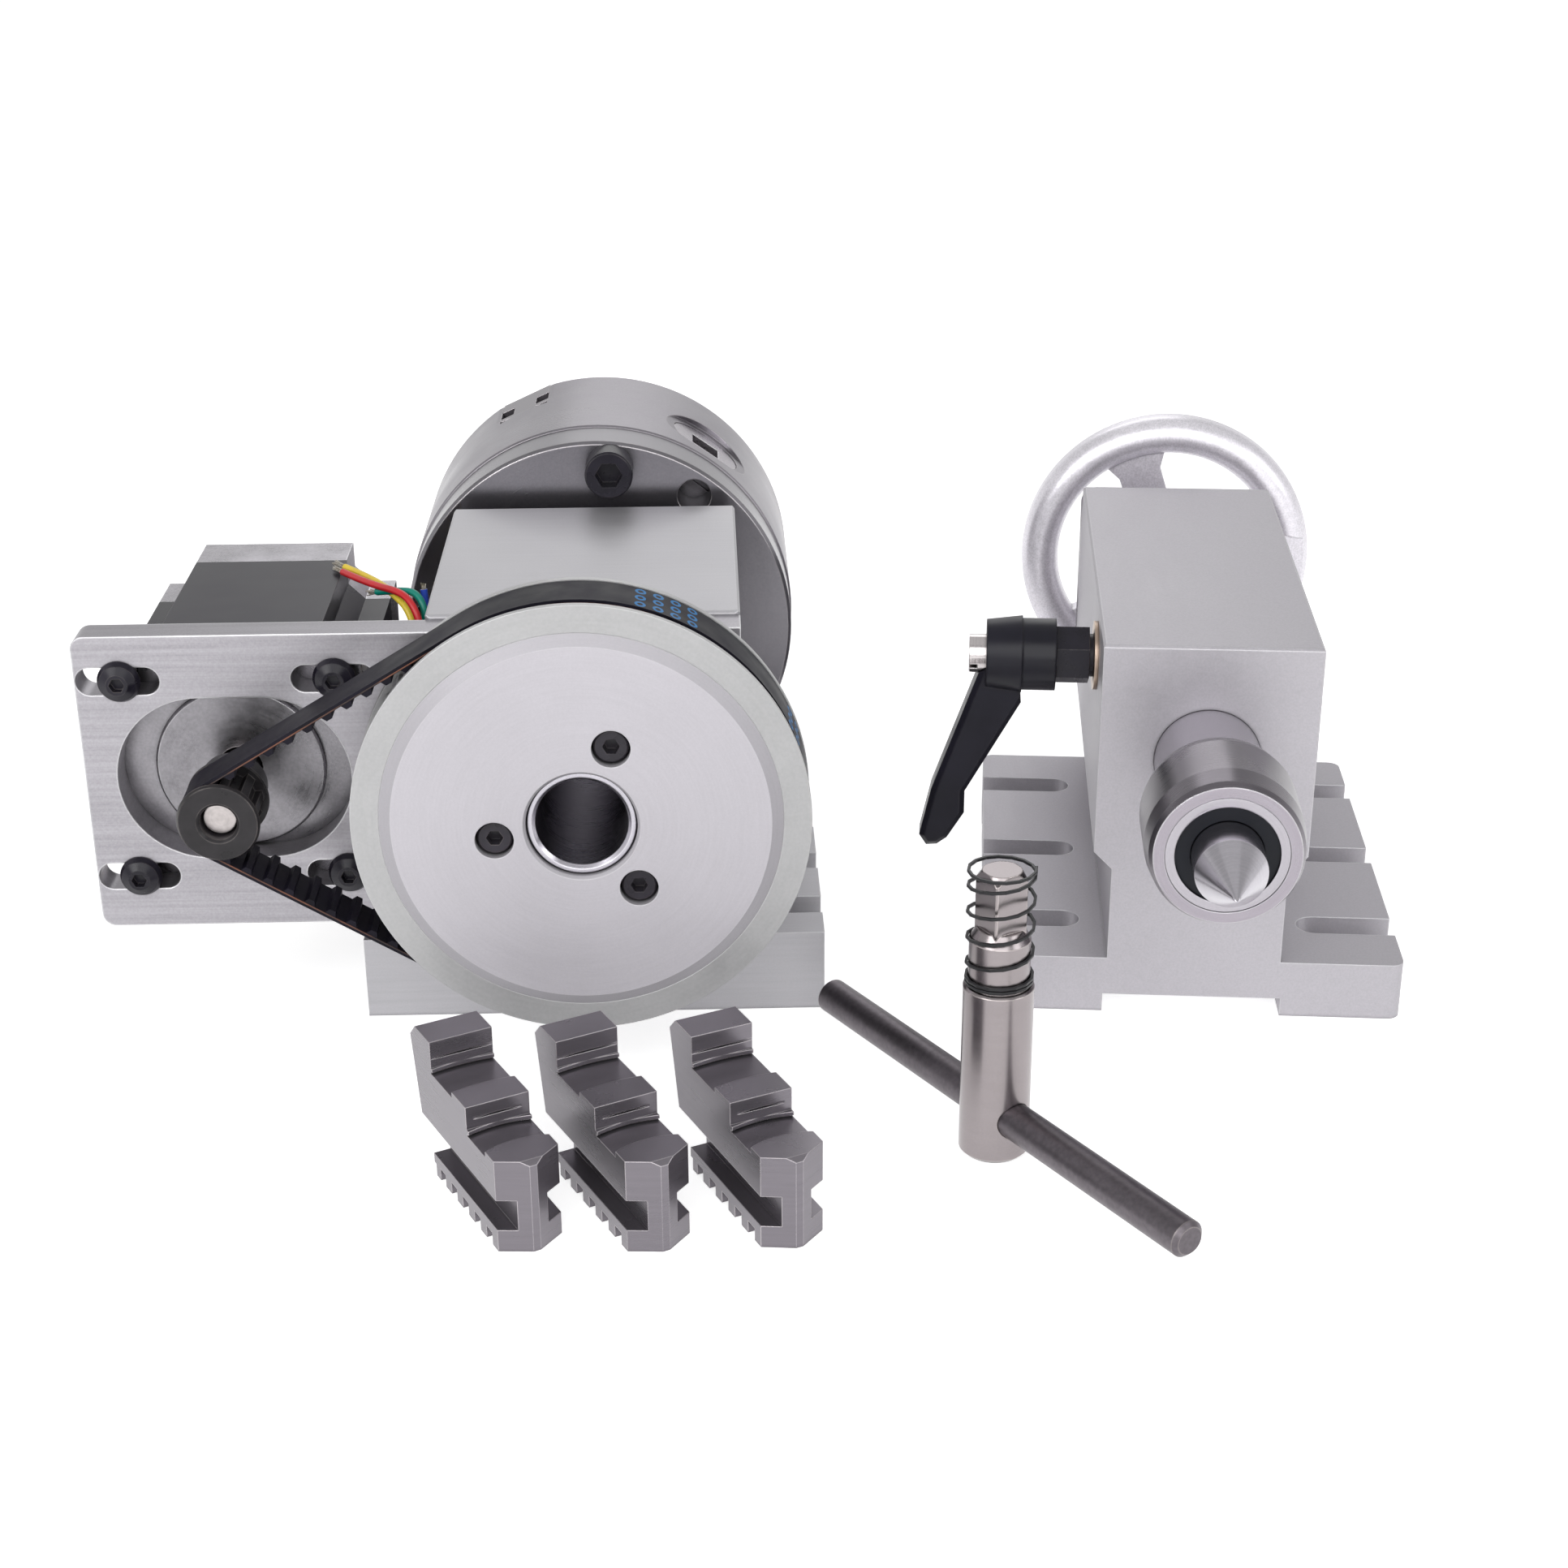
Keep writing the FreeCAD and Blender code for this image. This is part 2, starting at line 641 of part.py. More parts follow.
def lead_tube(route, radius, name):
    """A tube along straight runs that are joined by tangent arcs."""
    edges = []
    start = route[0]
    tightest = math.inf
    for before, corner, after in zip(route, route[1:], route[2:]):
        back, ahead = before - corner, after - corner
        turn = math.pi - back.getAngle(ahead)
        shorter = min(back.Length, ahead.Length)
        reach = 0.45 * shorter
        tightest = min(tightest, reach / math.tan(turn / 2))
        enter = corner + back * (reach / back.Length)
        leave = corner + ahead * (reach / ahead.Length)
        bisector = (back.normalize() + ahead.normalize()).normalize()
        bend = reach / math.tan(turn / 2)
        middle = corner + bisector * (bend / math.cos(turn / 2) - bend)
        edges.append(Part.LineSegment(start, enter).toShape())
        edges.append(Part.Arc(enter, middle, leave).toShape())
        start = leave
    edges.append(Part.LineSegment(start, route[-1]).toShape())
    path = Part.Wire(edges)
    section = Part.Wire([Part.makeCircle(radius, route[0], route[1] - route[0])])
    tube = path.makePipeShell([section], True, False)
    wanted = math.pi * radius ** 2 * path.Length
    print(name, "length", round(path.Length, 1), "tightest", round(tightest, 1), "volume", round(tube.Volume / wanted, 3))
    return tube


def lead_grommet():
    half = 1.5 * lead_spacing + 2.2
    p = grommet_place
    return box(p.x - half, p.x + half, p.y - 2.6, p.y + 2.6, p.z - grommet_depth, p.z)


# Chuck

chuck_rear = back_plate_rear + back_plate_thickness
chuck_front = chuck_rear + chuck_length
jaw_floor = chuck_front - 19.3
ridge_top = jaw_floor + jaw_tooth_height - 0.3
disc_front = jaw_floor - 0.3
wall_rear = jaw_floor + jaw_tooth_height + 0.1
pinion_y = chuck_rear + 17.6
cover_front = pinion_y + 3.8
boss_depth = 2.8
boss_outer = 27.5
bolt_radius = 43.0
bolt_angles = (85.0, 205.0, 325.0)
lug_radius = 6.4
tooth_ratio = scroll_teeth / pinion_teeth
tooth_inner = 27.0
tooth_outer = 41.0


def radial_frame(angle, y):
    """Local X runs outward from the chuck's axis, local Y across it and local Z along the axis."""
    turn = math.radians(angle)
    c, s = math.cos(turn), math.sin(turn)
    return Matrix(c, s, 0, 0, 0, 0, 1, y, s, -c, 0, centre_height, 0, 0, 0, 1)


def on_radius(shape, angle, y):
    return shape.transformed(radial_frame(angle, y), copy=True)


def back_plate():
    """Adapter between spindle flange and chuck, with the screw holes and three spare ones."""
    rear, front = back_plate_rear, chuck_rear
    plate = turned([(0, rear), (back_plate_radius - 0.8, rear), (back_plate_radius, rear + 0.8),
                    (back_plate_radius, front), (boss_outer, front), (boss_outer, front + boss_depth),
                    (0, front + boss_depth)])
    cutters = [rod_y(0, centre_height, chuck_bore_radius, rear - overrun, front + 4),
               rod_y(0, centre_height, 17.52, rear - overrun, rear + 3.1)]
    for p in spindle_screw_points(0):
        cutters.append(rod_y(p.x, p.z, 2.7, rear - overrun, front + 4))
        cutters.append(rod_y(p.x, p.z, cap_head_radius + 0.3, front + boss_depth - 5.3, front + 4))
    for angle in bolt_angles:
        p = polar(bolt_radius, angle, 0)
        cutters.append(rod_y(p.x, p.z, 4.2, rear - overrun, front + overrun))
    for angle in pinion_angles:
        p = polar(bolt_radius, angle, 0)
        cutters.append(rod_y(p.x, p.z, 4.3, rear - overrun, front + overrun))
    return plate.cut(cutters)


def spindle_screws():
    seat = chuck_rear + boss_depth - 5.3
    return [aimed(cap_screw(cap_head_radius, cap_head_height, 2.5, 16.5, 4), p, Vector(0, -1, 0))
            for p in spindle_screw_points(seat)]


def chuck_screws():
    return [aimed(cap_screw(6.0, 7.6, 4.0, 24, 6), polar(bolt_radius, angle, back_plate_rear), y_axis)
            for angle in bolt_angles]


def chuck_body():
    """Shell with three lugs for the chuck screws, the jaw slots and the ports of the pinions."""
    shell = turned([(chuck_bore_radius, chuck_front), (chuck_radius - 1, chuck_front),
                    (chuck_radius, chuck_front - 1), (chuck_radius, chuck_rear + 0.5),
                    (chuck_radius - 0.5, chuck_rear), (cavity_radius, chuck_rear), (cavity_radius, wall_rear),
                    (hub_radius, wall_rear), (hub_radius, chuck_rear + 3), (chuck_bore_radius, chuck_rear + 3)])
    half, web = jaw_half_width + slide_gap, jaw_web_half + slide_gap
    rail_rear, rail_front = jaw_wing_top + slide_gap, jaw_groove_top - slide_gap
    far = chuck_radius + overrun
    slot = fused(box(0, far, -half, half, -0.1, rail_rear),
                 box(0, far, -web, web, 0, chuck_front),
                 box(46, far, -half, half, 0, rail_front),
                 box(0, far, -half, half, rail_front, chuck_front - jaw_floor + overrun),
                 box(chuck_radius - 0.7, far, -8.6, 8.6, wall_rear - jaw_floor, chuck_front))
    cutters = [on_radius(slot, angle, jaw_floor) for angle in jaw_angles]
    lugs = []
    for angle in bolt_angles:
        p = polar(bolt_radius, angle, 0)
        lugs.append(rod_y(p.x, p.z, lug_radius, chuck_rear, cover_front))
        cutters.append(rod_y(p.x, p.z, 4.05, chuck_rear - overrun, chuck_rear + 14))
    for angle in pinion_angles:
        port = fused(rod(10.0, Vector(cavity_radius - 2, 0, 0), Vector(far, 0, 0)),
                     rod(12.5, Vector(chuck_radius - 1.6, 0, 0), Vector(far, 0, 0)))
        cutters.append(on_radius(port, angle, pinion_y))
    return shell.fuse(lugs).cut(cutters)


def chuck_cover():
    """Ring behind the scroll: it holds the pinions and is notched around the body's lugs."""
    rear = chuck_rear
    ring = turned([(hub_radius + 0.1, cover_front), (cavity_radius - 0.1, cover_front), (cavity_radius - 0.1, rear),
                   (boss_outer + 0.1, rear), (boss_outer + 0.1, rear + 3), (hub_radius + 0.1, rear + 3)])
    cutters = []
    for angle in bolt_angles:
        p = polar(bolt_radius, angle, 0)
        cutters.append(rod_y(p.x, p.z, lug_radius + 0.1, rear - overrun, cover_front + overrun))
    for angle in pinion_angles:
        pocket = fused(rod(10.0, Vector(tooth_inner - 0.3, 0, 0), Vector(cavity_radius + 1, 0, 0)),
                       rod(3.1, Vector(20, 0, 0), Vector(tooth_inner, 0, 0)))
        cutters.append(on_radius(pocket, angle, pinion_y))
    return ring.cut(cutters)


def tooth_module(radius):
    return 2 * radius / scroll_teeth


def gear_section(radius):
    """The pinion's outline at one distance from the chuck's axis; one tooth points along local Z."""
    module = tooth_module(radius)
    pitch = radius / tooth_ratio
    tip, root = pitch + 0.7 * module, pitch - 0.85 * module
    tip_half, root_half = 0.36 * module, 0.8 * module
    points = []
    for tooth in range(pinion_teeth):
        turn = math.radians(90 + tooth * 360 / pinion_teeth)
        c, s = math.cos(turn), math.sin(turn)
        for reach, side in ((root, -root_half), (tip, -tip_half), (tip, tip_half), (root, root_half)):
            points.append(Vector(radius, reach * c - side * s, reach * s + side * c))
    return Part.makePolygon(points + points[:1])


def pinion(angle):
    """Bevel pinion with a square socket for the key."""
    outer_end = chuck_radius - 1.8
    head = Part.makeLoft([gear_section(tooth_inner), gear_section(tooth_outer)], True, True)
    blank = fused(rod(9.9, Vector(tooth_outer, 0, 0), Vector(outer_end, 0, 0)),
                  rod(3.0, Vector(20.5, 0, 0), Vector(tooth_inner + 1, 0, 0)), head)
    half = socket_size / 2
    return on_radius(blank.cut(box(38.2, outer_end + 1, -half, half, -half, half)), angle, pinion_y)


def scroll_tooth():
    """One crown tooth, pointing back towards the pinions, tapering to the chuck's axis."""
    sections = []
    for radius in (tooth_inner, tooth_outer):
        module = tooth_module(radius)
        pitch = radius / tooth_ratio
        tip, root = pitch - 0.7 * module, pitch + 0.85 * module + 0.4
        tip_half, root_half = 0.36 * module, 0.85 * module
        corners = [Vector(radius, -root_half, root), Vector(radius, -tip_half, tip),
                   Vector(radius, tip_half, tip), Vector(radius, root_half, root)]
        sections.append(Part.makePolygon(corners + corners[:1]))
    return Part.makeLoft(sections, True, True)


def spiral_point(angle, offset):
    radius = scroll_start + scroll_pitch * angle / 360 + offset
    return polar(radius, angle, 0)


scroll_start = 17.2
scroll_turns = 4.5
spiral_step = 30


def scroll():
    """Disc with the spiral ridge in front and the crown teeth behind."""
    root_slope = 1 / tooth_ratio + 0.85 * 2 / scroll_teeth
    inner, outer = hub_radius + 0.05, cavity_radius - 0.6
    disc = turned([(inner, cover_front + 0.3), (26, cover_front + 0.3), (26, pinion_y + 26 * root_slope),
                   (outer, pinion_y + outer * root_slope), (outer, disc_front), (inner, disc_front)])
    edges = []
    last = int(scroll_turns * 360)
    half = ridge_width / 2
    for angle in range(0, last, spiral_step):
        edges.append(Part.Arc(spiral_point(angle, half), spiral_point(angle + spiral_step / 2, half),
                              spiral_point(angle + spiral_step, half)).toShape())
    edges.append(Part.LineSegment(spiral_point(last, half), spiral_point(last, -half)).toShape())
    for angle in range(last, 0, -spiral_step):
        edges.append(Part.Arc(spiral_point(angle, -half), spiral_point(angle - spiral_step / 2, -half),
                              spiral_point(angle - spiral_step, -half)).toShape())
    edges.append(Part.LineSegment(spiral_point(0, -half), spiral_point(0, half)).toShape())
    ridge = Part.Face(Part.Wire(edges)).extrude(Vector(0, ridge_top - disc_front + 0.2, 0))
    ridge.translate(Vector(0, disc_front - 0.2, 0))
    first = pinion_angles[0] + 180 / scroll_teeth
    teeth = [on_radius(scroll_tooth(), first + tooth * 360 / scroll_teeth, pinion_y) for tooth in range(scroll_teeth)]
    return disc.fuse([ridge] + teeth)


def jaw_teeth(angle, inner, outer):
    """Arc teeth below the jaw's foot, halfway between the ridge's turns at this angle."""
    teeth = []
    radius = scroll_start + scroll_pitch * ((angle % 360) / 360 + 0.5)
    while radius < outer:
        if radius > inner:
            arc = rod(radius + jaw_tooth_width / 2, Vector(), Vector(0, 0, jaw_tooth_height + 0.2))
            arc = arc.cut(rod(radius - jaw_tooth_width / 2, Vector(0, 0, -overrun), Vector(0, 0, 4)))
            teeth.append(arc.common(box(0, 60, -4.5, 4.5, 0, jaw_tooth_height + 0.2)))
        radius += scroll_pitch
    return teeth


def jaw_blank(profile, foot_back, teeth):
    """A jaw with its nose at x = 0: the stepped profile above, groove and T foot below."""
    half, web = jaw_half_width, jaw_web_half
    upper = flat([Vector(x, -half, z) for x, z in profile]).extrude(Vector(0, 2 * half, 0))
    foot = box(0, foot_back, -half, half, jaw_tooth_height, jaw_wing_top)
    stem = box(0, foot_back, -web, web, jaw_tooth_height, jaw_groove_top + 1)
    jaw = upper.fuse([foot, stem] + teeth)
    slope = half / math.tan(math.radians(60))
    flat_half = 0.8
    set_back = flat_half * math.tan(math.radians(30))
    nose = [Vector(-1, -half - 1, -1), Vector(slope + 0.577, -half - 1, -1), Vector(set_back, -flat_half, -1),
            Vector(set_back, flat_half, -1), Vector(slope + 0.577, half + 1, -1), Vector(-1, half + 1, -1)]
    return jaw.cut(flat(nose).extrude(Vector(0, 0, 50)))


jaw_nose = chuck_radius - 0.7 - jaw_length


def inside_jaw(angle):
    top, middle, low = jaw_top, 25.6, 19.5
    profile = [(0, jaw_groove_top), (0, top), (11, top), (11, middle), (24, middle), (24, low),
               (jaw_length, low), (jaw_length, jaw_groove_top)]
    teeth = jaw_teeth(angle, jaw_nose + 5, jaw_nose + jaw_length - 1.5)
    for tooth in teeth:
        tooth.translate(Vector(-jaw_nose, 0, 0))
    jaw = jaw_blank(profile, jaw_length, teeth)
    jaw.translate(Vector(jaw_nose, 0, 0))
    return on_radius(jaw, angle, jaw_floor)


def outside_jaw(x, y, turn):
    """Spare jaw for large work: steps rise away from the nose, each with an arc riser and grooves."""
    base, first, second, top = jaw_groove_top, 21.0, 26.1, 32.2
    landing = 1.3
    back = 47.6
    profile = [(0, base), (0, first - 1.5), (1.5, first), (18, first), (18, second), (36.5, second), (36.5, top),
               (back - 3, top), (back, top - 3), (back - 4, base)]
    teeth = [box(inner, outer, -jaw_half_width, jaw_half_width, 0, jaw_tooth_height + 0.2)
             for inner, outer in ((0, 6.9), (10.0, 13.1), (16.3, 19.4), (22.5, 25.6), (28.7, 31.8), (34.7, 37.0))]
    jaw = jaw_blank(profile, 38, teeth)
    for riser, height, radius, reach in ((18, first, 24, 8), (36.5, second, 42, 10.5)):
        middle = Vector(riser - radius, 0, 0)
        floor = middle + z_axis * (height - landing)
        roof = middle + z_axis * (top + 1)
        bowl = rod(radius, floor, roof).cut(rod(radius - reach, floor, roof))
        jaw = jaw.cut(bowl.common(box(riser - reach - 3, riser + 1, -8, 8, height - landing, top + 1)))
        for level in (height - landing, height + 2.0):
            low, high = middle + z_axis * level, middle + z_axis * (level + 0.5)
            groove = rod(radius + 0.6, low, high).cut(rod(radius - 1, low, high))
            jaw = jaw.cut(groove.common(box(riser - 2, riser + 2, -8, 8, level, level + 0.5)))
    jaw.rotate(Vector(), z_axis, 90 + turn)
    across = Vector(math.cos(math.radians(turn)), math.sin(math.radians(turn)), 0)
    along = Vector(-across.y, across.x, 0)
    jaw.translate(Vector(x, y, 0) + across * jaw_half_width - along * 3.0)
    return jaw


# Tailstock, drawn with its front face at y = 0 and its quill axis in the plane x = 0

quill_line = Vector(0, 0, centre_height)
quill_front = -22.0
quill_rear = 75.0
barrel_front = -52.3
barrel_rear = -24.0
key_y = 40.0
thrust_thickness = 8.0
wheel_hub_front = tail_length + thrust_thickness + 0.2


def tailstock_body():
    half, foot, neck = tail_width / 2, tail_foot_width / 2, tail_neck_width / 2
    relief = 20.8
    right = [(relief, 0), (foot, 0), (foot, tail_foot_thickness), (neck, tail_foot_thickness), (neck, 37),
             (half, 41.3), (half, tail_height)]
    outline = right + [(-x, z) for x, z in reversed(right)] + [(-relief, 4.5), (relief, 4.5)]
    body = flat([Vector(x, 0, z) for x, z in outline]).extrude(Vector(0, tail_length, 0))
    corners = [e for e in body.Edges if abs(abs(e.BoundBox.Center.x) - foot) < 0.1 and e.BoundBox.ZLength > 13]
    body = body.makeFillet(3, corners)
    top = [e for e in body.Edges if e.BoundBox.ZMin > tail_height - 0.1]
    body = body.makeChamfer(0.6, top)
    centres = [(k - 1) * tail_slot_pitch for k in range(3)]
    cutters = [rod_y(0, centre_height, quill_radius + 0.04, -overrun, tail_length + overrun)]
    for side in (-1, 1):
        cutters += open_slots(side * foot, tail_slot_depth, centres, tail_length / 2, tail_foot_thickness)
    cutters.append(rod(5.1, Vector(-half - overrun, clamp_y, clamp_z), Vector(14, clamp_y, clamp_z)))
    cutters.append(rod(3.05, Vector(11, key_y, centre_height), Vector(half + overrun, key_y, centre_height)))
    for x, z in thrust_screw_places():
        cutters.append(rod_y(x, z, 2.05, tail_length - 10, tail_length + overrun))
    return body.cut(cutters)


def thrust_screw_places():
    return [(x, centre_height + z) for x in (-17, 17) for z in (-17, 17)]


def thrust_plate():
    half = tail_width / 2
    rear = tail_length + thrust_thickness
    plate = box(-half, half, tail_length, rear, centre_height - half, centre_height + half)
    plate = plate.makeFillet(4, [e for e in plate.Edges if e.BoundBox.YLength > thrust_thickness - 0.1])
    cutters = [rod_y(0, centre_height, 4.05, tail_length - overrun, rear + overrun)]
    for x, z in thrust_screw_places():
        cutters.append(rod_y(x, z, 2.2, tail_length - overrun, rear + overrun))
        cutters.append(rod_y(x, z, 3.8, rear - 4.2, rear + overrun))
    return plate.cut(cutters)


def thrust_screws():
    seat = tail_length + thrust_thickness - 4.2
    return [aimed(cap_screw(3.5, 4, 2.0, 13, 3), Vector(x, seat, z), Vector(0, -1, 0))
            for x, z in thrust_screw_places()]


def quill():
    """Sliding barrel: taper socket in front, nut thread behind, keyway at its side."""
    shape = turned([(8.92, quill_front), (quill_radius - 0.6, quill_front), (quill_radius, quill_front + 0.6),
                    (quill_radius, quill_rear), (5.1, quill_rear), (5.1, 32), (7.57, 32)], quill_line)
    keyway = box(9.6, quill_radius + 1, 15, 68, centre_height - 2.1, centre_height + 2.1)
    return shape.cut(keyway)


def quill_key():
    tip = rod(2.0, Vector(9.9, key_y, centre_height), Vector(13, key_y, centre_height))
    screw = rod(3.0, Vector(12.3, key_y, centre_height), Vector(tail_width / 2 - 0.5, key_y, centre_height))
    socket = aimed(hexagon(3, 3), Vector(tail_width / 2 - 3.4, key_y, centre_height), x_axis)
    return fused(tip, screw).cut(socket)


def feed_screw():
    """Lead screw with its thrust collar and the journal that carries the handwheel."""
    return turned([(0, 50), (4.2, 50), (4.95, 51), (4.95, tail_length - 6), (10.5, tail_length - 6),
                   (10.5, tail_length - 0.1), (4.0, tail_length - 0.1), (4.0, wheel_plane + 9), (0, wheel_plane + 9)],
                  quill_line)


def handwheel():
    """Cast wheel: oval rim, three flat spokes that widen into it, a hub and one flat land on the rim."""
    centre = Vector(0, wheel_plane, centre_height)
    middle = centre + x_axis * wheel_radius
    across = x_axis * rim_half_width
    reach = y_axis * (rim_half_depth - rim_half_width)
    tip = y_axis * rim_half_depth
    oval = Part.Wire([Part.Arc(middle + across - reach, middle - tip, middle - across - reach).toShape(),
                      Part.LineSegment(middle - across - reach, middle - across + reach).toShape(),
                      Part.Arc(middle - across + reach, middle + tip, middle + across + reach).toShape(),
                      Part.LineSegment(middle + across + reach, middle + across - reach).toShape()])
    rim = Part.Face(oval).revolve(centre, y_axis, 360)
    hub = turned([(4.02, wheel_hub_front), (11.5, wheel_hub_front), (13, wheel_hub_front + 3), (13, wheel_plane + 1),
                  (11, wheel_plane + 3), (4.02, wheel_plane + 3)], quill_line)
    parts = [hub]
    for angle in (108.5, 228.5, 348.5):
        outline = [(11, -5.6), (25, -5.8), (30.5, -9), (wheel_radius, -9), (wheel_radius, 9), (30.5, 9),
                   (25, 5.8), (11, 5.6)]
        spoke = flat([Vector(x, -2.6, z) for x, z in outline]).extrude(Vector(0, 5.2, 0))
        turned_spoke = spun(spoke, -angle, Vector(), y_axis)
        turned_spoke.translate(centre)
        parts.append(turned_spoke)
    wheel = rim.fuse(parts)
    land = box(wheel_radius - 7, wheel_radius + 7, -9, -4.6, -14, 14)
    land = spun(land, -348.5, Vector(), y_axis)
    land.translate(centre)
    return wheel.cut(land)


def handwheel_nut():
    nut = aimed(hexagon(13, 5.5), Vector(0, wheel_plane + 3, centre_height), y_axis)
    return nut.cut(rod_y(0, centre_height, 4.02, wheel_plane, wheel_plane + 12))


def centre_housing():
    """Barrel of the live centre with its taper shank."""
    return turned([(13.05, barrel_front), (15.5, barrel_front), (16.3, barrel_front + 1.6), (17.0, barrel_front + 7),
                   (barrel_radius, barrel_rear - 6), (16.2, barrel_rear - 2.6), (14.0, barrel_rear - 0.6),
                   (12.5, barrel_rear), (8.95, barrel_rear), (8.9, quill_front), (7.65, 28), (0, 28), (0, -33),
                   (13.05, -33)], quill_line)


def centre_bearing_ring():
    return ring_y(0, centre_height, 13.03, 11.0, barrel_front + 0.15, -42)


def centre_seal():
    return ring_y(0, centre_height, 10.98, point_radius + 0.12, barrel_front + 0.8, barrel_front + 3.2)


def centre_point():
    cone_length = point_radius / math.tan(math.radians(30))
    tip = -74.0
    return turned([(0, tip), (point_radius, tip + cone_length), (point_radius, -46.5), (10.8, -46.5), (10.8, -42.5),
                   (6.0, -42.5), (6.0, -33.5), (0, -33.5)], quill_line)


face_x = -tail_width / 2


def clamp_point(x):
    return Vector(x, clamp_y, clamp_z)


def clamp_washer():
    return rod(8.0, clamp_point(face_x - 0.95), clamp_point(face_x)).cut(
        rod(3.2, clamp_point(face_x - 2), clamp_point(face_x + 1)))


def clamp_pads():
    """Split bush hollowed to the quill; the stud draws its halves together."""
    pads = []
    for x0, x1 in ((-12, -0.5), (0.5, 12)):
        pad = rod(5.0, clamp_point(x0), clamp_point(x1)).cut(rod(3.15, clamp_point(x0 - 1), clamp_point(x1 + 1)))
        pads.append(pad.cut(rod_y(0, centre_height, quill_radius + 0.1, clamp_y - 8, clamp_y + 8)))
    return pads


def clamp_stud():
    """Hexagon with its collar and the round insert inside the handle, and the stud screwed into it."""
    collar = rod(5.0, clamp_point(face_x - 2), clamp_point(face_x - 1))
    hex_part = aimed(spun(hexagon(12, 7.6), 30, Vector(), z_axis), clamp_point(face_x - 9.6), x_axis)
    insert = rod(6.0, clamp_point(face_x - 17), clamp_point(face_x - 9))
    stud = rod(3.0, clamp_point(face_x - 1), clamp_point(11))
    bore = rod(2.55, clamp_point(face_x - 18), clamp_point(face_x - 12))
    return [fused(hex_part, collar, insert).cut(bore), stud]


handle_outer = face_x - 25.8
handle_inner = face_x - 9.7


def lever_handle():
    """Hub with a bore for the insert, and a flat cranked arm that widens from a waist to a rounded tip."""
    middle = face_x - 17.5
    hub = Part.makeCylinder(8.4, handle_inner - middle, clamp_point(middle), x_axis)
    front = Part.makeCone(8.0, 9.0, middle - handle_outer, clamp_point(handle_outer), x_axis)
    outline = [(18.0, clamp_z - 4), (17.4, 69.7), (30.0, 46.8), (30.0, 41.2), (34.0, 34.6), (36.4, 32.8), (38.9, 32.6),
               (40.6, 35.2), (38.0, 47.0), (27.6, 76.5), (25.0, clamp_z)]
    arm = flat([Vector(face_x - x, clamp_y - 4.2, z) for x, z in outline]).extrude(Vector(0, 8.4, 0))
    arm = arm.makeChamfer(1.2, [e for e in arm.Edges if e.BoundBox.YLength < 0.01 and e.BoundBox.ZMin < 60])
    body = fused(hub, front, arm)
    cutters = [rod(6.1, clamp_point(face_x - 17.2), clamp_point(handle_inner + 1)),
               rod(3.2, clamp_point(face_x - 20), clamp_point(face_x - 16)),
               rod(4.7, clamp_point(handle_outer - 5), clamp_point(face_x - 18.5))]
    return body.cut(cutters)


def lever_screw():
    head = rod(4.5, clamp_point(handle_outer - 4), clamp_point(face_x - 23))
    shank = rod(2.5, clamp_point(face_x - 24), clamp_point(face_x - 12.5))
    slot = box(handle_outer - 5, handle_outer - 2, clamp_y - 6, clamp_y + 6, clamp_z - 0.6, clamp_z + 0.6)
    slot = spun(slot, 25, clamp_point(0), x_axis)
    return fused(head, shank).cut(slot)


def at_tailstock(shape):
    """Stands a tailstock piece where the tailstock stands, a little askew to the headstock."""
    return shape.transformed(Placement(tail_corner, Rotation(z_axis, tail_turn)).toMatrix(), copy=True)


# Chuck key

key_body_radius = 7.5
key_shoulder = 40.0
bar_height = 10.0


def key_body():
    body = turned_z([(0, 0), (key_body_radius - 1, 0), (key_body_radius, 1), (key_body_radius, key_shoulder - 0.5),
                     (key_body_radius - 0.5, key_shoulder), (6.5, key_shoulder), (6.5, 50.5), (4.9, 53), (0, 53)])
    square = box(-4, 4, -4, 4, 52, 66).common(turned_z([(0, 51), (5.4, 51), (5.4, 64), (4.1, 66), (0, 66)]))
    square.rotate(Vector(), z_axis, 28)
    direction = bar_direction()
    hole = rod(bar_radius + 0.06, direction * -9 + Vector(0, 0, bar_height), direction * 9 + Vector(0, 0, bar_height))
    key = fused(body, square).cut(hole)
    key.translate(key_place)
    return key


def bar_direction():
    turn = math.radians(bar_turn)
    return Vector(math.cos(turn), math.sin(turn), 0)


def key_bar():
    bar = turned_z([(0, 0), (bar_radius - 1, 0), (bar_radius, 1), (bar_radius, bar_length - 1),
                    (bar_radius - 1, bar_length), (0, bar_length)])
    start = key_place + Vector(0, 0, bar_height) - bar_direction() * (bar_length / 2)
    return aimed(bar, start, bar_direction())


def key_spring():
    """Compression spring standing on the key's shoulder: two close turns, then open ones."""
    wire, coil = 0.42, 7.0
    steps = 16
    rise = [2.1 * wire] * 2 + [5.85] * 4 + [2.2 * wire]
    centres = []
    height = key_shoulder + wire * math.sin(math.pi / 4) + 0.01
    for pitch in rise:
        for step in range(steps):
            turn = 2 * math.pi * step / steps
            centres.append(Vector(coil * math.cos(turn), coil * math.sin(turn), height + pitch * step / steps))
        height += pitch
    centres.append(Vector(coil, 0, height))
    rings = []
    for k, centre in enumerate(centres):
        outward = Vector(centre.x, centre.y, 0).normalize()
        rings.append([centre + outward * (wire * math.cos(a)) + z_axis * (wire * math.sin(a))
                      for a in (math.radians(45 + 90 * q) for q in range(4))])
    faces = [flat(rings[0]), flat(rings[-1])]
    for low, high in zip(rings, rings[1:]):
        for q in range(4):
            a, b, c, d = low[q], low[(q + 1) % 4], high[(q + 1) % 4], high[q]
            faces += [flat([a, b, c]), flat([a, c, d])]
    spring = Part.Solid(Part.Shell(faces))
    spring.translate(key_place)
    return spring


# The nodes

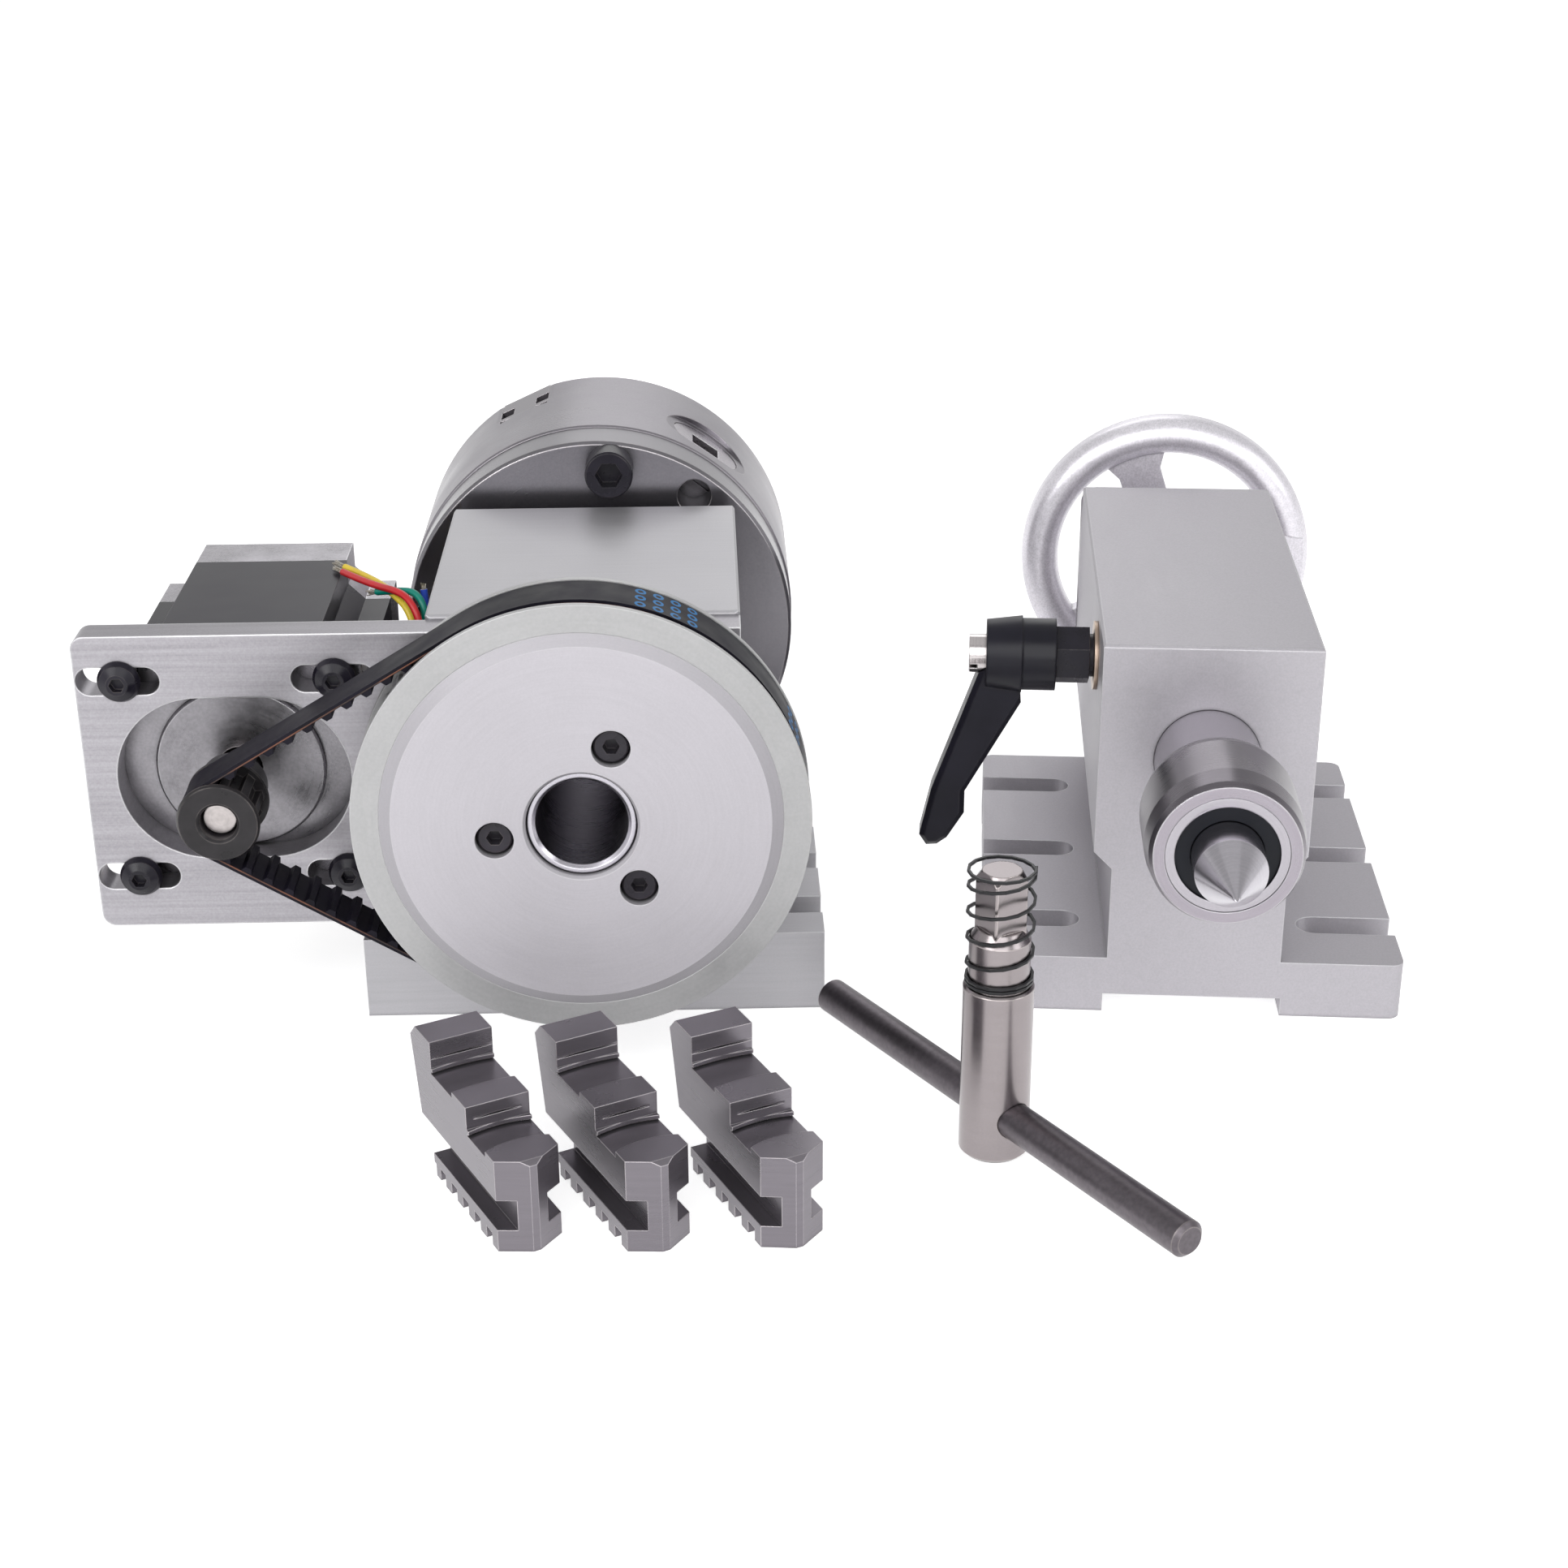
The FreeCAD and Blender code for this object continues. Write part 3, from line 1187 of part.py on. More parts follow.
nodes = {
    "headstock_body": headstock(),
    "bearing_outer_rings": bearing_rings(True),
    "bearing_inner_rings": bearing_rings(False),
    "bearing_balls": bearing_balls(),
    "spindle": spindle_piece(),
    "pulley_hub": pulley_hub(),
    "drive_pulley": drive_pulley(),
    "pulley_flanges": pulley_flanges(),
    "pulley_screws": pulley_screws(),
    "drive_belt": belt_piece(),
    "motor_plate": motor_plate(),
    "plate_screws": plate_screws(),
    "motor_front_bell": motor_front_bell(),
    "motor_stator": motor_stator(),
    "motor_rear_bell": motor_rear_bell(),
    "motor_case_screws": case_screws(),
    "motor_screws": motor_screws() + motor_nuts(),
    "motor_rotor": motor_rotor(),
    "motor_pulley": motor_pulley(),
    "lead_grommet": lead_grommet(),
    "back_plate": back_plate(),
    "spindle_screws": spindle_screws(),
    "chuck_screws": chuck_screws(),
    "chuck_body": chuck_body(),
    "chuck_cover": chuck_cover(),
    "scroll": scroll(),
}
nodes["lead_tips"] = []
for lane, name in enumerate(lead_ends):
    route = lead_route(name, lane)
    nodes[name] = lead_tube(route, lead_radius, name)
    nodes["lead_tips"].append(lead_tip(route))
for number, angle in enumerate(jaw_angles, 1):
    nodes[f"jaw_{number}"] = inside_jaw(angle)
for number, angle in enumerate(pinion_angles, 1):
    nodes[f"pinion_{number}"] = pinion(angle)
for number, place in enumerate(spare_places, 1):
    nodes[f"outside_jaw_{number}"] = outside_jaw(*place)

tailstock_nodes = {
    "tailstock_body": tailstock_body(),
    "thrust_plate": thrust_plate(),
    "thrust_screws": thrust_screws(),
    "quill_key": quill_key(),
    "clamp_washer": clamp_washer(),
    "clamp_pads": clamp_pads(),
    "quill": quill(),
    "centre_housing": centre_housing(),
    "centre_bearing_ring": centre_bearing_ring(),
    "centre_seal": centre_seal(),
    "centre_point": centre_point(),
    "feed_screw": feed_screw(),
    "handwheel": handwheel(),
    "handwheel_nut": handwheel_nut(),
    "clamp_stud": clamp_stud(),
    "lever_handle": lever_handle(),
    "lever_screw": lever_screw(),
}
for name, shape in tailstock_nodes.items():
    pieces = shape if isinstance(shape, list) else [shape]
    nodes[name] = [at_tailstock(piece) for piece in pieces]

nodes["key_body"] = key_body()
nodes["key_bar"] = key_bar()
nodes["key_spring"] = key_spring()

os.makedirs("parts", exist_ok=True)
for name, shape in nodes.items():
    pieces = shape if isinstance(shape, list) else [shape]
    solids = [solid for piece in pieces for solid in piece.Solids]
    whole = solids[0] if len(solids) == 1 else Part.makeCompound(solids)
    whole.exportStep(f"parts/{name}.step")
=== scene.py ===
import math
import random
import bmesh
import bpy
from mathutils import Matrix, Vector


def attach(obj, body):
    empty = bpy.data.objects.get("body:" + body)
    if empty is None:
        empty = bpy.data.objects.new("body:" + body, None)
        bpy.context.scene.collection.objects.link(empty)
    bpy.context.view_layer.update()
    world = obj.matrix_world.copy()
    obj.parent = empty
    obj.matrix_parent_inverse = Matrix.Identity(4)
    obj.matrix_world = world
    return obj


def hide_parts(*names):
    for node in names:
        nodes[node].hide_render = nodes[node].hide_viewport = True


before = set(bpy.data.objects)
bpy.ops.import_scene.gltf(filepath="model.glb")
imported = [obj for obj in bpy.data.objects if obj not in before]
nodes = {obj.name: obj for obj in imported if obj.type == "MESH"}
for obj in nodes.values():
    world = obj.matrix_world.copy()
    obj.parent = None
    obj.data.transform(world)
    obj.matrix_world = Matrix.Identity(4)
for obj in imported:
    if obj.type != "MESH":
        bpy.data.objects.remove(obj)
bpy.context.view_layer.update()
print("frame loaded,", len(nodes), "nodes")

mm = 0.001
upward = Vector((0, 0, 1))
spindleHeight = 0.065
motorAcross = -0.0781967
tailCorner = Vector((0.1403, -0.0464, 0))
tailTurn = math.radians(-5.9)
tailAcross = Vector((math.cos(tailTurn), math.sin(tailTurn), 0))
tailAlong = Vector((-math.sin(tailTurn), math.cos(tailTurn), 0))


def onTail(x, y, z):
    # a point of the tailstock's own frame, in millimetres
    return tailCorner + (tailAcross * x + tailAlong * y + upward * z) * mm


def addObject(name, data):
    made = bpy.data.objects.new(name, data)
    bpy.context.collection.objects.link(made)
    return made


# the camera stands where the photograph was taken; its angles are in degrees
camera = {"place": (0.0273, -0.5769, 0.2884), "heading": 1.62, "pitch": 24.05, "roll": -0.33,
          "lens": 58.63, "shift": (0.0057, 0.0237), "nearest": 0.01}


def makeCamera(settings):
    heading, pitch, roll = (math.radians(settings[key]) for key in ("heading", "pitch", "roll"))
    level = Vector((math.sin(heading), math.cos(heading), 0))
    forward = level * math.cos(pitch) - upward * math.sin(pitch)
    right = forward.cross(upward).normalized()
    top = right.cross(forward)
    turned = Matrix.Rotation(-roll, 3, forward)
    rows = (turned @ right, turned @ top, -forward)
    lens = bpy.data.cameras.new("camera")
    lens.lens = settings["lens"]
    lens.shift_x, lens.shift_y = settings["shift"]
    lens.clip_start = settings["nearest"]
    made = addObject("camera", lens)
    made.matrix_world = Matrix.Translation(settings["place"]) @ Matrix(rows).transposed().to_4x4()
    bpy.context.scene.camera = made


makeCamera(camera)


# shader maths reads as plain sums on these
class Value:
    def __init__(self, paint, socket):
        self.paint = paint
        self.socket = socket

    def __add__(self, other):
        return self.paint.math("ADD", self, other)

    def __radd__(self, other):
        return self.paint.math("ADD", other, self)

    def __sub__(self, other):
        return self.paint.math("SUBTRACT", self, other)

    def __rsub__(self, other):
        return self.paint.math("SUBTRACT", other, self)

    def __mul__(self, other):
        return self.paint.math("MULTIPLY", self, other)

    def __rmul__(self, other):
        return self.paint.math("MULTIPLY", other, self)

    def __truediv__(self, other):
        return self.paint.math("DIVIDE", self, other)

    def __pow__(self, other):
        return self.paint.math("POWER", self, other)

    def __gt__(self, other):
        return self.paint.math("GREATER_THAN", self, other)

    def __lt__(self, other):
        return self.paint.math("LESS_THAN", self, other)


# what the finishes share: how far noise mostly reaches, and where edges and crevices begin and are full
shading = {"noise": (0.3, 0.7), "edge": (0.999, 0.93), "edgeSamples": 6, "crevice": (0.25, 0.8),
           "creviceSamples": 5}

surfaceSockets = {"colour": "Base Color", "rough": "Roughness", "metal": "Metallic", "normal": "Normal",
                  "specular": "Specular IOR Level"}


# the nodes of a material, or of the sky
class Paint:
    def __init__(self, owner):
        owner.use_nodes = True
        self.owner = owner
        self.nodes = owner.node_tree.nodes
        self.links = owner.node_tree.links

    def fill(self, socket, value):
        if isinstance(value, Value):
            self.links.new(value.socket, socket)
        elif hasattr(value, "__len__"):
            spare = len(socket.default_value) - len(value)
            socket.default_value = (*value, *[1] * spare)
        else:
            socket.default_value = value

    def node(self, kind, settings=None, sockets=None, out=0):
        made = self.nodes.new("ShaderNode" + kind)
        for key, value in (settings or {}).items():
            setattr(made, key, value)
        for key, value in (sockets or {}).items():
            self.fill(made.inputs[key], value)
        return Value(self, made.outputs[out])

    def math(self, operation, first, second=0.0):
        return self.node("Math", {"operation": operation}, {0: first, 1: second})

    def vectors(self, operation, first, second, out=0):
        return self.node("VectorMath", {"operation": operation}, {0: first, 1: second}, out)

    def dot(self, first, second):
        return self.vectors("DOT_PRODUCT", first, second, "Value")

    def place(self):
        return self.node("TexCoord", out="Object")

    def noise(self, vector, scale=1.0, detail=2.0, rough=0.5):
        sockets = {"Vector": vector, "Scale": scale, "Detail": detail, "Roughness": rough}
        return self.node("TexNoise", None, sockets)

    def span(self, value, low, high, start=0.0, end=1.0):
        # from low..high to start..end, held at both ends
        return self.node("MapRange", None, {0: value, 1: low, 2: high, 3: start, 4: end})

    def vary(self, noise, start, end):
        return self.span(noise, *shading["noise"], start, end)

    def mix(self, factor, first, second):
        return self.node("Mix", {"data_type": "RGBA"}, {0: factor, 6: first, 7: second}, 2)

    def shaded(self, colour, amount):
        # a colour made lighter or darker by a varying amount
        grey = self.node("CombineXYZ", None, {0: amount, 1: amount, 2: amount})
        settings = {"data_type": "RGBA", "blend_type": "MULTIPLY"}
        return self.node("Mix", settings, {0: 1.0, 6: colour, 7: grey}, 2)

    def bump(self, height, strength, depth, normal=None):
        sockets = {"Strength": strength, "Distance": depth, "Height": height}
        if normal:
            sockets["Normal"] = normal
        return self.node("Bump", None, sockets)

    def around(self, origin, axis):
        # distance along an axis and out from it, and the two places across it
        axis = Vector(axis).normalized()
        side = axis.orthogonal().normalized()
        offset = self.vectors("SUBTRACT", self.place(), origin)
        along, first, second = (self.dot(offset, d) for d in (axis, side, axis.cross(side)))
        return along, (first * first + second * second) ** 0.5, first, second

    def edges(self, width):
        # rounded normals near sharp edges, and a mask of those edges
        rounded = self.node("Bevel", {"samples": shading["edgeSamples"]}, {"Radius": width})
        flat = self.node("NewGeometry", out="Normal")
        return rounded, self.span(self.dot(rounded, flat), *shading["edge"])

    def crevices(self, reach):
        # a mask for painted shade: dark where two faces meet inwards or a gap runs
        settings = {"samples": shading["creviceSamples"]}
        clear = self.node("AmbientOcclusion", settings, {"Distance": reach}, "AO")
        return self.span(clear, *shading["crevice"])

    def finish(self, **sockets):
        for name, value in sockets.items():
            self.fill(self.nodes["Principled BSDF"].inputs[surfaceSockets[name]], value)
        return self.owner


def newPaint(name):
    return Paint(bpy.data.materials.new(name))


def dress(names, material):
    for name in names.split():
        for slot in nodes[name].material_slots:
            slot.material = material


def like(base, **changes):
    return {**base, **changes}


# leads: the same routes as the solids, in millimetres
leads = {"spacing": 2.4, "radius": 0.85, "low": 1.2, "gap": -41.8, "mouth": (-84.1967, 28.0, 33.8),
         "lengths": {"lead_yellow": 0.2598, "lead_red": 0.2712, "lead_green": 0.2598, "lead_blue": 0.2509},
         "colours": {"lead_yellow": (0.82, 0.62, 0.05), "lead_red": (0.62, 0.018, 0.025),
                     "lead_green": (0.0, 0.23, 0.17), "lead_blue": (0.02, 0.07, 0.5)},
         "ends": {
             "lead_yellow": ((-43.2, -14.4, 55), (-41.4, -15.2, 70), (-40.5, -15.4, 81),
                             (-40.2, -15.3, 88.6), (-42.0, -13.1, 92.7), (-44.7, -9.9, 94.3),
                             (-50.4, 0.6, 94.8), (-59.1, 11.8, 94.4)),
             "lead_red": ((-41.2, -16.4, 55), (-39.4, -18.6, 70), (-38.5, -19.6, 82), (-38.2, -19.8, 90.6),
                          (-40.0, -17.6, 94.9), (-43.0, -14.0, 96.8), (-51.2, -4.1, 95.3),
                          (-59.2, 8.2, 94.4)),
             "lead_green": ((-39.7, -14.2, 56), (-38.4, -15.4, 72), (-37.6, -16.4, 84),
                            (-37.3, -16.4, 93.2), (-39.4, -13.6, 96.3), (-43.0, -11.2, 96.2),
                            (-49.6, -5.6, 94.0)),
             "lead_blue": ((-38.3, -11.5, 54), (-37.9, -9.6, 69), (-37.6, -7.8, 83), (-38.6, -5.8, 94.5)),
         }}


def leadRoute(name, lane):
    # out of the motor, under and round behind the headstock, up the gap beside it
    out = (lane - 1.5) * leads["spacing"]
    low = leads["low"]
    x, y, z = leads["mouth"]
    x -= out
    gap = leads["gap"] + out * 0.9
    hidden = [(x, y, z), (x, y, z - 11), (x + 0.5, y + 7, z - 22), (-81 - out, 49 + out * 0.2, low + 3),
              (-75 - out * 0.9, 63 + out * 0.5, low), (-62, 70 + out, low),
              (-48 + out * 0.8, 64 + out * 0.6, low), (-42.5 + out, 53.5, low + 3.5),
              (gap, 48, 15), (gap, 44, 28), (gap, 32, 29.5), (gap, 18, 23),
              (gap, 4, 22.4), (gap, -8, 27.5), (gap, -13, 39)]
    return [Vector(point) * mm for point in (*hidden, *leads["ends"][name])]


def newCurve(name, radius, fineness):
    line = bpy.data.curves.new(name, "CURVE")
    line.dimensions = "3D"
    line.bevel_depth = radius
    line.bevel_resolution = fineness
    return line


def addSpline(line, places, closed=False):
    spline = line.splines.new("NURBS")
    spline.points.add(len(places) - 1)
    for point, place in zip(spline.points, places):
        point.co = (*place, 1)
    spline.order_u = 3
    spline.use_endpoint_u = not closed
    spline.use_cyclic_u = closed


def curvePiece(name, places, radius, closed=False, fineness=6):
    line = newCurve(name, radius, fineness)
    line.resolution_u = 10
    line.use_fill_caps = True
    addSpline(line, places, closed)
    return addObject(name, line)


jacket = {"mottleScale": 260, "mottleReach": (0.25, 0.8), "shade": (0.82, 1.08), "dustScale": 2600,
          "rough": (0.3, 0.44), "specular": 0.5, "bump": 0.15, "depth": 0.0001}


def insulation(name, colour, look):
    paint = newPaint(name)
    place = paint.place()
    mottle = paint.noise(place, look["mottleScale"], 3)
    dust = paint.noise(place, look["dustScale"], 2)
    tone = paint.shaded(colour, paint.span(mottle, *look["mottleReach"], *look["shade"]))
    return paint.finish(colour=tone, rough=paint.vary(mottle, *look["rough"]), specular=look["specular"],
                        normal=paint.bump(dust, look["bump"], look["depth"]))


# "shares" says how far each lead's strands reach, and "turn" lays them out like seeds
strands = {"count": 14, "radius": 0.00013, "spread": 0.0005, "length": 0.0056, "seed": 4,
           "shares": (1.0, 0.9, 0.6, 0.3), "turn": 2.4, "inside": 0.0006, "reach": (0.72, 1.0),
           "bends": (0.35, 0.7), "fan": (0.7, 1.5), "tipFan": 1.25}


def strandBundle(name, routes, settings):
    # bare strands that fan out a little past the cut insulation
    chance = random.Random(settings["seed"])
    line = newCurve(name, settings["radius"], 2)
    low, high = settings["bends"]
    for route, share in zip(routes, settings["shares"]):
        start = route[-1]
        along = (route[-1] - route[-2]).normalized()
        side = along.orthogonal().normalized()
        over = along.cross(side)
        for number in range(settings["count"]):
            turn = settings["turn"] * number
            ring = settings["spread"] * math.sqrt((number + 0.5) / settings["count"])
            first = side * math.cos(turn) * ring + over * math.sin(turn) * ring
            reach = settings["length"] * share * chance.uniform(*settings["reach"])
            fan = chance.uniform(*settings["fan"])
            addSpline(line, (start - along * settings["inside"] + first,
                             start + along * reach * low + first,
                             start + along * reach * high + first * fan,
                             start + along * reach + first * fan * settings["tipFan"]))
    return addObject(name, line)


tinned = {"colour": (0.62, 0.6, 0.55), "dull": (0.42, 0.36, 0.28), "patchScale": 900,
          "patchReach": (0.35, 0.7), "rough": (0.25, 0.45)}


def tinnedWire(look):
    paint = newPaint("TinnedStrands")
    patch = paint.noise(paint.place(), look["patchScale"], 2)
    tone = paint.mix(paint.span(patch, *look["patchReach"]), look["colour"], look["dull"])
    return paint.finish(colour=tone, rough=paint.vary(patch, *look["rough"]), metal=1.0)


def makeLeads():
    routes = []
    for lane, name in enumerate(leads["ends"]):
        route = leadRoute(name, lane)
        routes.append(route)
        words = name.split("_")
        piece = curvePiece(".".join(words) + ".insulation", route, leads["radius"] * mm)
        finishName = "".join(word.title() for word in words)
        piece.data.materials.append(insulation(finishName, leads["colours"][name], jacket))
        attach(piece, "headstock")
        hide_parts(name)
    bare = strandBundle("lead.strands", routes, strands)
    bare.data.materials.append(tinnedWire(tinned))
    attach(bare, "headstock")
    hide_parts("lead_tips")


makeLeads()
print("camera and leads made")


# floor, sky and lamps; a lamp's row is its name, place, target, size and watts
studio = {"floorReach": 2.5, "floorDrop": 0.0001, "floorColour": (0.8, 0.8, 0.8), "floorGlow": 0.72,
          "sky": 0.39, "skyLow": 0.95, "skyHigh": 0.55, "skyRise": (0.12, 0.6),
          "lamps": (("overhead", (0.05, 0.1, 1.2), (0, 0, 0), 1.1, 0.5),
                    ("keyLeft", (-0.7, -0.85, 0.7), (0, -0.02, 0.05), 0.6, 5.5),
                    ("fillRight", (0.95, -0.55, 0.55), (0.1, 0, 0.05), 0.5, 1.8),
                    ("frontSoft", (0.1, -1.2, 0.75), (0.03, 0, 0.05), 1.1, 8.0),
                    ("rearStrip", (0.1, 1.0, 0.75), (0.05, 0, 0.05), 0.6, 1.4))}


def shownRays(paint):
    # the rays that see the pale surroundings: straight, mirrored or through glass
    kinds = ("Is Camera Ray", "Is Glossy Ray", "Is Transmission Ray")
    seen = sum(paint.node("LightPath", out=kind) for kind in kinds)
    return paint.math("MINIMUM", seen, 1.0)


def makeFloor(settings):
    mesh = bpy.data.meshes.new("floor")
    shape = bmesh.new()
    bmesh.ops.create_circle(shape, cap_ends=True, segments=96, radius=settings["floorReach"])
    shape.to_mesh(mesh)
    shape.free()
    floor = addObject("floor", mesh)
    floor.location.z = -settings["floorDrop"]
    paint = newPaint("PaleFloor")
    plain = paint.node("BsdfDiffuse", None, {"Color": settings["floorColour"]})
    glow = paint.node("Emission", None, {"Color": (1, 1, 1), "Strength": settings["floorGlow"]})
    both = paint.node("AddShader", None, {0: plain, 1: glow})
    shown = paint.node("MixShader", None, {0: shownRays(paint), 1: plain, 2: both})
    paint.fill(paint.nodes["Material Output"].inputs["Surface"], shown)
    mesh.materials.append(paint.owner)


def makeSky(settings):
    world = bpy.data.worlds.new("sky")
    bpy.context.scene.world = world
    paint = Paint(world)
    height = paint.node("SeparateXYZ", None, {0: paint.node("TexCoord", out="Generated")}, 2)
    pale = paint.span(height, *settings["skyRise"], settings["skyLow"], settings["skyHigh"])
    pale = paint.math("MAXIMUM", pale, paint.node("LightPath", out="Is Camera Ray"))
    shown = shownRays(paint)
    background = paint.nodes["Background"].inputs
    paint.fill(background["Strength"], shown * pale + (1 - shown) * settings["sky"])
    paint.fill(background["Color"], (1, 1, 1))


def makeLamps(settings):
    for name, place, target, size, watts in settings["lamps"]:
        lamp = bpy.data.lights.new(name, "AREA")
        lamp.shape = "SQUARE"
        lamp.size = size
        lamp.energy = watts
        made = addObject(name, lamp)
        made.location = place
        made.rotation_mode = "QUATERNION"
        made.rotation_quaternion = (Vector(target) - Vector(place)).to_track_quat("-Z", "Y")


makeFloor(studio)
makeSky(studio)
makeLamps(studio)
bpy.context.scene.view_settings.view_transform = "Standard"
print("floor and lamps made")


def cutterMarks(paint, place, look):
    # rings round an axis where the piece is turned, else straight strokes
    if "axis" not in look:
        return paint.noise(paint.vectors("MULTIPLY", place, look["stretch"]), 1.0, 4, 0.62)
    along, out, first, second = paint.around(look["origin"], look["axis"])
    fine = look["fine"]
    slow = look["slow"]
    ground = paint.node("CombineXYZ", None, {0: first * slow, 1: second * slow, 2: along * fine})
    sockets = {"Vector": ground, "W": out * fine, "Scale": 1.0, "Detail": 3.0, "Roughness": 0.6}
    return paint.node("TexNoise", {"noise_dimensions": "4D"}, sockets)


def spareHoleShadeMask(paint, place, look):
    # where the spare screw holes are, for the painted shade inside them
    pocket = 0.0
    for hole in look["pockets"]:
        fromHole = paint.vectors("SUBTRACT", place, hole)
        beside = paint.vectors("CROSS_PRODUCT", fromHole, look["axis"])
        pocket = pocket + (paint.dot(beside, beside) < look["pocketRadius"] ** 2)
    return pocket


# one builder for machined metal: fine cutter marks, cloudy handling, bright edges that are partly rubbed
# wear and partly painted highlight
def metal(name, look):
    paint = newPaint(name)
    place = paint.place()
    marks = cutterMarks(paint, place, look)
    clouds = paint.noise(place, look["cloudScale"], 3, 0.55)
    specks = paint.noise(place, look["speckScale"], 1, 0.5)
    # mask of the spare holes, whose colour gets painted shade
    pocket = spareHoleShadeMask(paint, place, look)
    rounded, rim = paint.edges(look["edge"])
    clear = paint.crevices(look["crevice"])
    swing = look["swing"]
    amount = (1 - swing + paint.vary(marks, 0, 2 * swing)
              + paint.vary(clouds, -look["cloud"], look["cloud"])
              + paint.vary(specks, -look["speck"], look["speck"]))
    # painted light: faces square to the axis get their colour scaled up or down for the light the lamps put
    # on them
    if "faceLift" in look:
        normal = paint.node("NewGeometry", out="Normal")
        facing = paint.math("ABSOLUTE", paint.dot(normal, look["axis"]))
        amount = amount * paint.span(facing, *look["faceTurn"], 1.0, look["faceLift"])
    # painted shade: the colour is darkened in crevices, gaps and recesses, where the occlusion mask is dark
    amount = amount * paint.span(clear, 0, 1, look["dirt"], 1.0) * (1 - look["pocketShade"] * pocket)
    handled = paint.span(clouds, *look["handled"], look["leastWorn"], 1.0)
    # edge colour: partly rubbed wear, partly a painted highlight on edges that catch the lamps, kept out of
    # crevices
    worn = rim * clear * clear * handled * look["rim"]
    base = [part * cast for part, cast in zip(look["colour"], look["cast"])]
    tone = paint.mix(worn, paint.shaded(base, amount), look["bright"])
    rough = (look["rough"] + paint.vary(clouds, -look["roughSwing"], look["roughSwing"])
             + paint.vary(marks, -look["markRough"], look["markRough"]))
    bump = paint.bump(marks + specks * look["speckDepth"], look["bump"], look["depth"], rounded)
    return paint.finish(colour=tone, rough=rough, metal=look["metal"], normal=bump)


# the "cast" is the slightly cool light on bare metal
plainMetal = {"colour": (0.6, 0.6, 0.61), "cast": (1.0, 0.965, 1.02), "bright": (0.86, 0.86, 0.87),
              "metal": 1.0, "rough": 0.36, "roughSwing": 0.06, "markRough": 0.04,
              "stretch": (40, 1400, 1400), "fine": 2600, "slow": 90, "swing": 0.06,
              "cloud": 0.03, "cloudScale": 34, "speck": 0.02, "speckScale": 2200, "speckDepth": 0.4,
              "bump": 0.35, "depth": 0.00003, "edge": 0.0004, "rim": 0.55, "handled": (0.35, 0.6),
              "leastWorn": 0.5, "crevice": 0.0014, "dirt": 0.35, "faceTurn": (0.9, 0.97),
              "pockets": (), "pocketRadius": 0.0, "pocketShade": 0.8}

spindleAxis = {"origin": (0, 0, spindleHeight), "axis": (0, 1, 0)}
motorAxis = {"origin": (motorAcross, 0, spindleHeight), "axis": (0, 1, 0)}
tailAxis = {"origin": onTail(0, 0, 65), "axis": tailAlong}
clampAxis = {"origin": onTail(-24.5, 24, 80.7), "axis": tailAcross}
keyAxis = {"origin": (0.0872, -0.105, 0), "axis": (0, 0, 1)}

# the two blocks and the motor plate: milled, then finely blasted
headstock = like(plainMetal, colour=(0.46, 0.47, 0.465), rough=0.46, stretch=(26, 900, 900),
                 swing=0.05, metal=0.7, cloudScale=26, cloud=0.05)
tailstock = like(plainMetal, colour=(0.46, 0.46, 0.465), rough=0.48, stretch=(500, 60, 700),
                 swing=0.03, metal=0.65, speck=0.04, cloud=0.05, cloudScale=18)
motorPlate = like(plainMetal, colour=(0.37, 0.37, 0.375), rough=0.4, stretch=(18, 300, 1100),
                  swing=0.12, metal=0.8, speck=0.06, rim=1.0, edge=0.0006, bright=(0.95, 0.95, 0.96))
dress("headstock_body", metal("HeadstockAluminium", headstock))
dress("tailstock_body", metal("TailstockAluminium", tailstock))
dress("motor_plate", metal("MilledPlate", motorPlate))

# pulley, spindle and its nut
pulleyFace = like(plainMetal, **spindleAxis, colour=(0.4, 0.4, 0.405), rough=0.5, swing=0.03, cloud=0.03,
                  fine=2200, rim=0.4, bump=0.2, metal=0.22, faceLift=1.3)
pulleyRings = like(pulleyFace, colour=(0.43, 0.445, 0.425), rough=0.38, cloud=0.06, cloudScale=45,
                   fine=1400, speck=0.03, speckScale=1400, metal=0.3, roughSwing=0.08, faceLift=1.0)
spindleSteel = like(plainMetal, **spindleAxis, colour=(0.5, 0.5, 0.52), rough=0.28, fine=3000)
bearingSteel = like(spindleSteel, colour=(0.62, 0.62, 0.63), rough=0.16, swing=0.02, bump=0.1)
dress("drive_pulley", metal("TurnedPulley", pulleyFace))
dress("pulley_flanges", metal("PlatedRings", pulleyRings))
dress("spindle pulley_hub", metal("SpindleSteel", spindleSteel))
dress("bearing_outer_rings bearing_inner_rings bearing_balls", metal("BearingSteel", bearingSteel))

# chuck; painted shade darkens the inside of the back plate's spare screw holes, and the back plate's wide
# crevice reach paints shade further across it
chuckIron = like(plainMetal, **spindleAxis, colour=(0.28, 0.275, 0.285), bright=(0.56, 0.53, 0.54),
                 rough=0.34, swing=0.09, cloud=0.06, cloudScale=40, fine=1700, rim=0.5, speck=0.05,
                 crevice=0.0022)
spareHoles = {"circle": 0.043, "first": 54.5, "count": 3, "radius": 0.00432}


def spareHolePlaces(settings):
    centre = Vector((0, 0, spindleHeight))
    step = 360 / settings["count"]
    turns = [math.radians(settings["first"] + step * number) for number in range(settings["count"])]
    return [Vector((math.cos(turn), 0, math.sin(turn))) * settings["circle"] + centre for turn in turns]


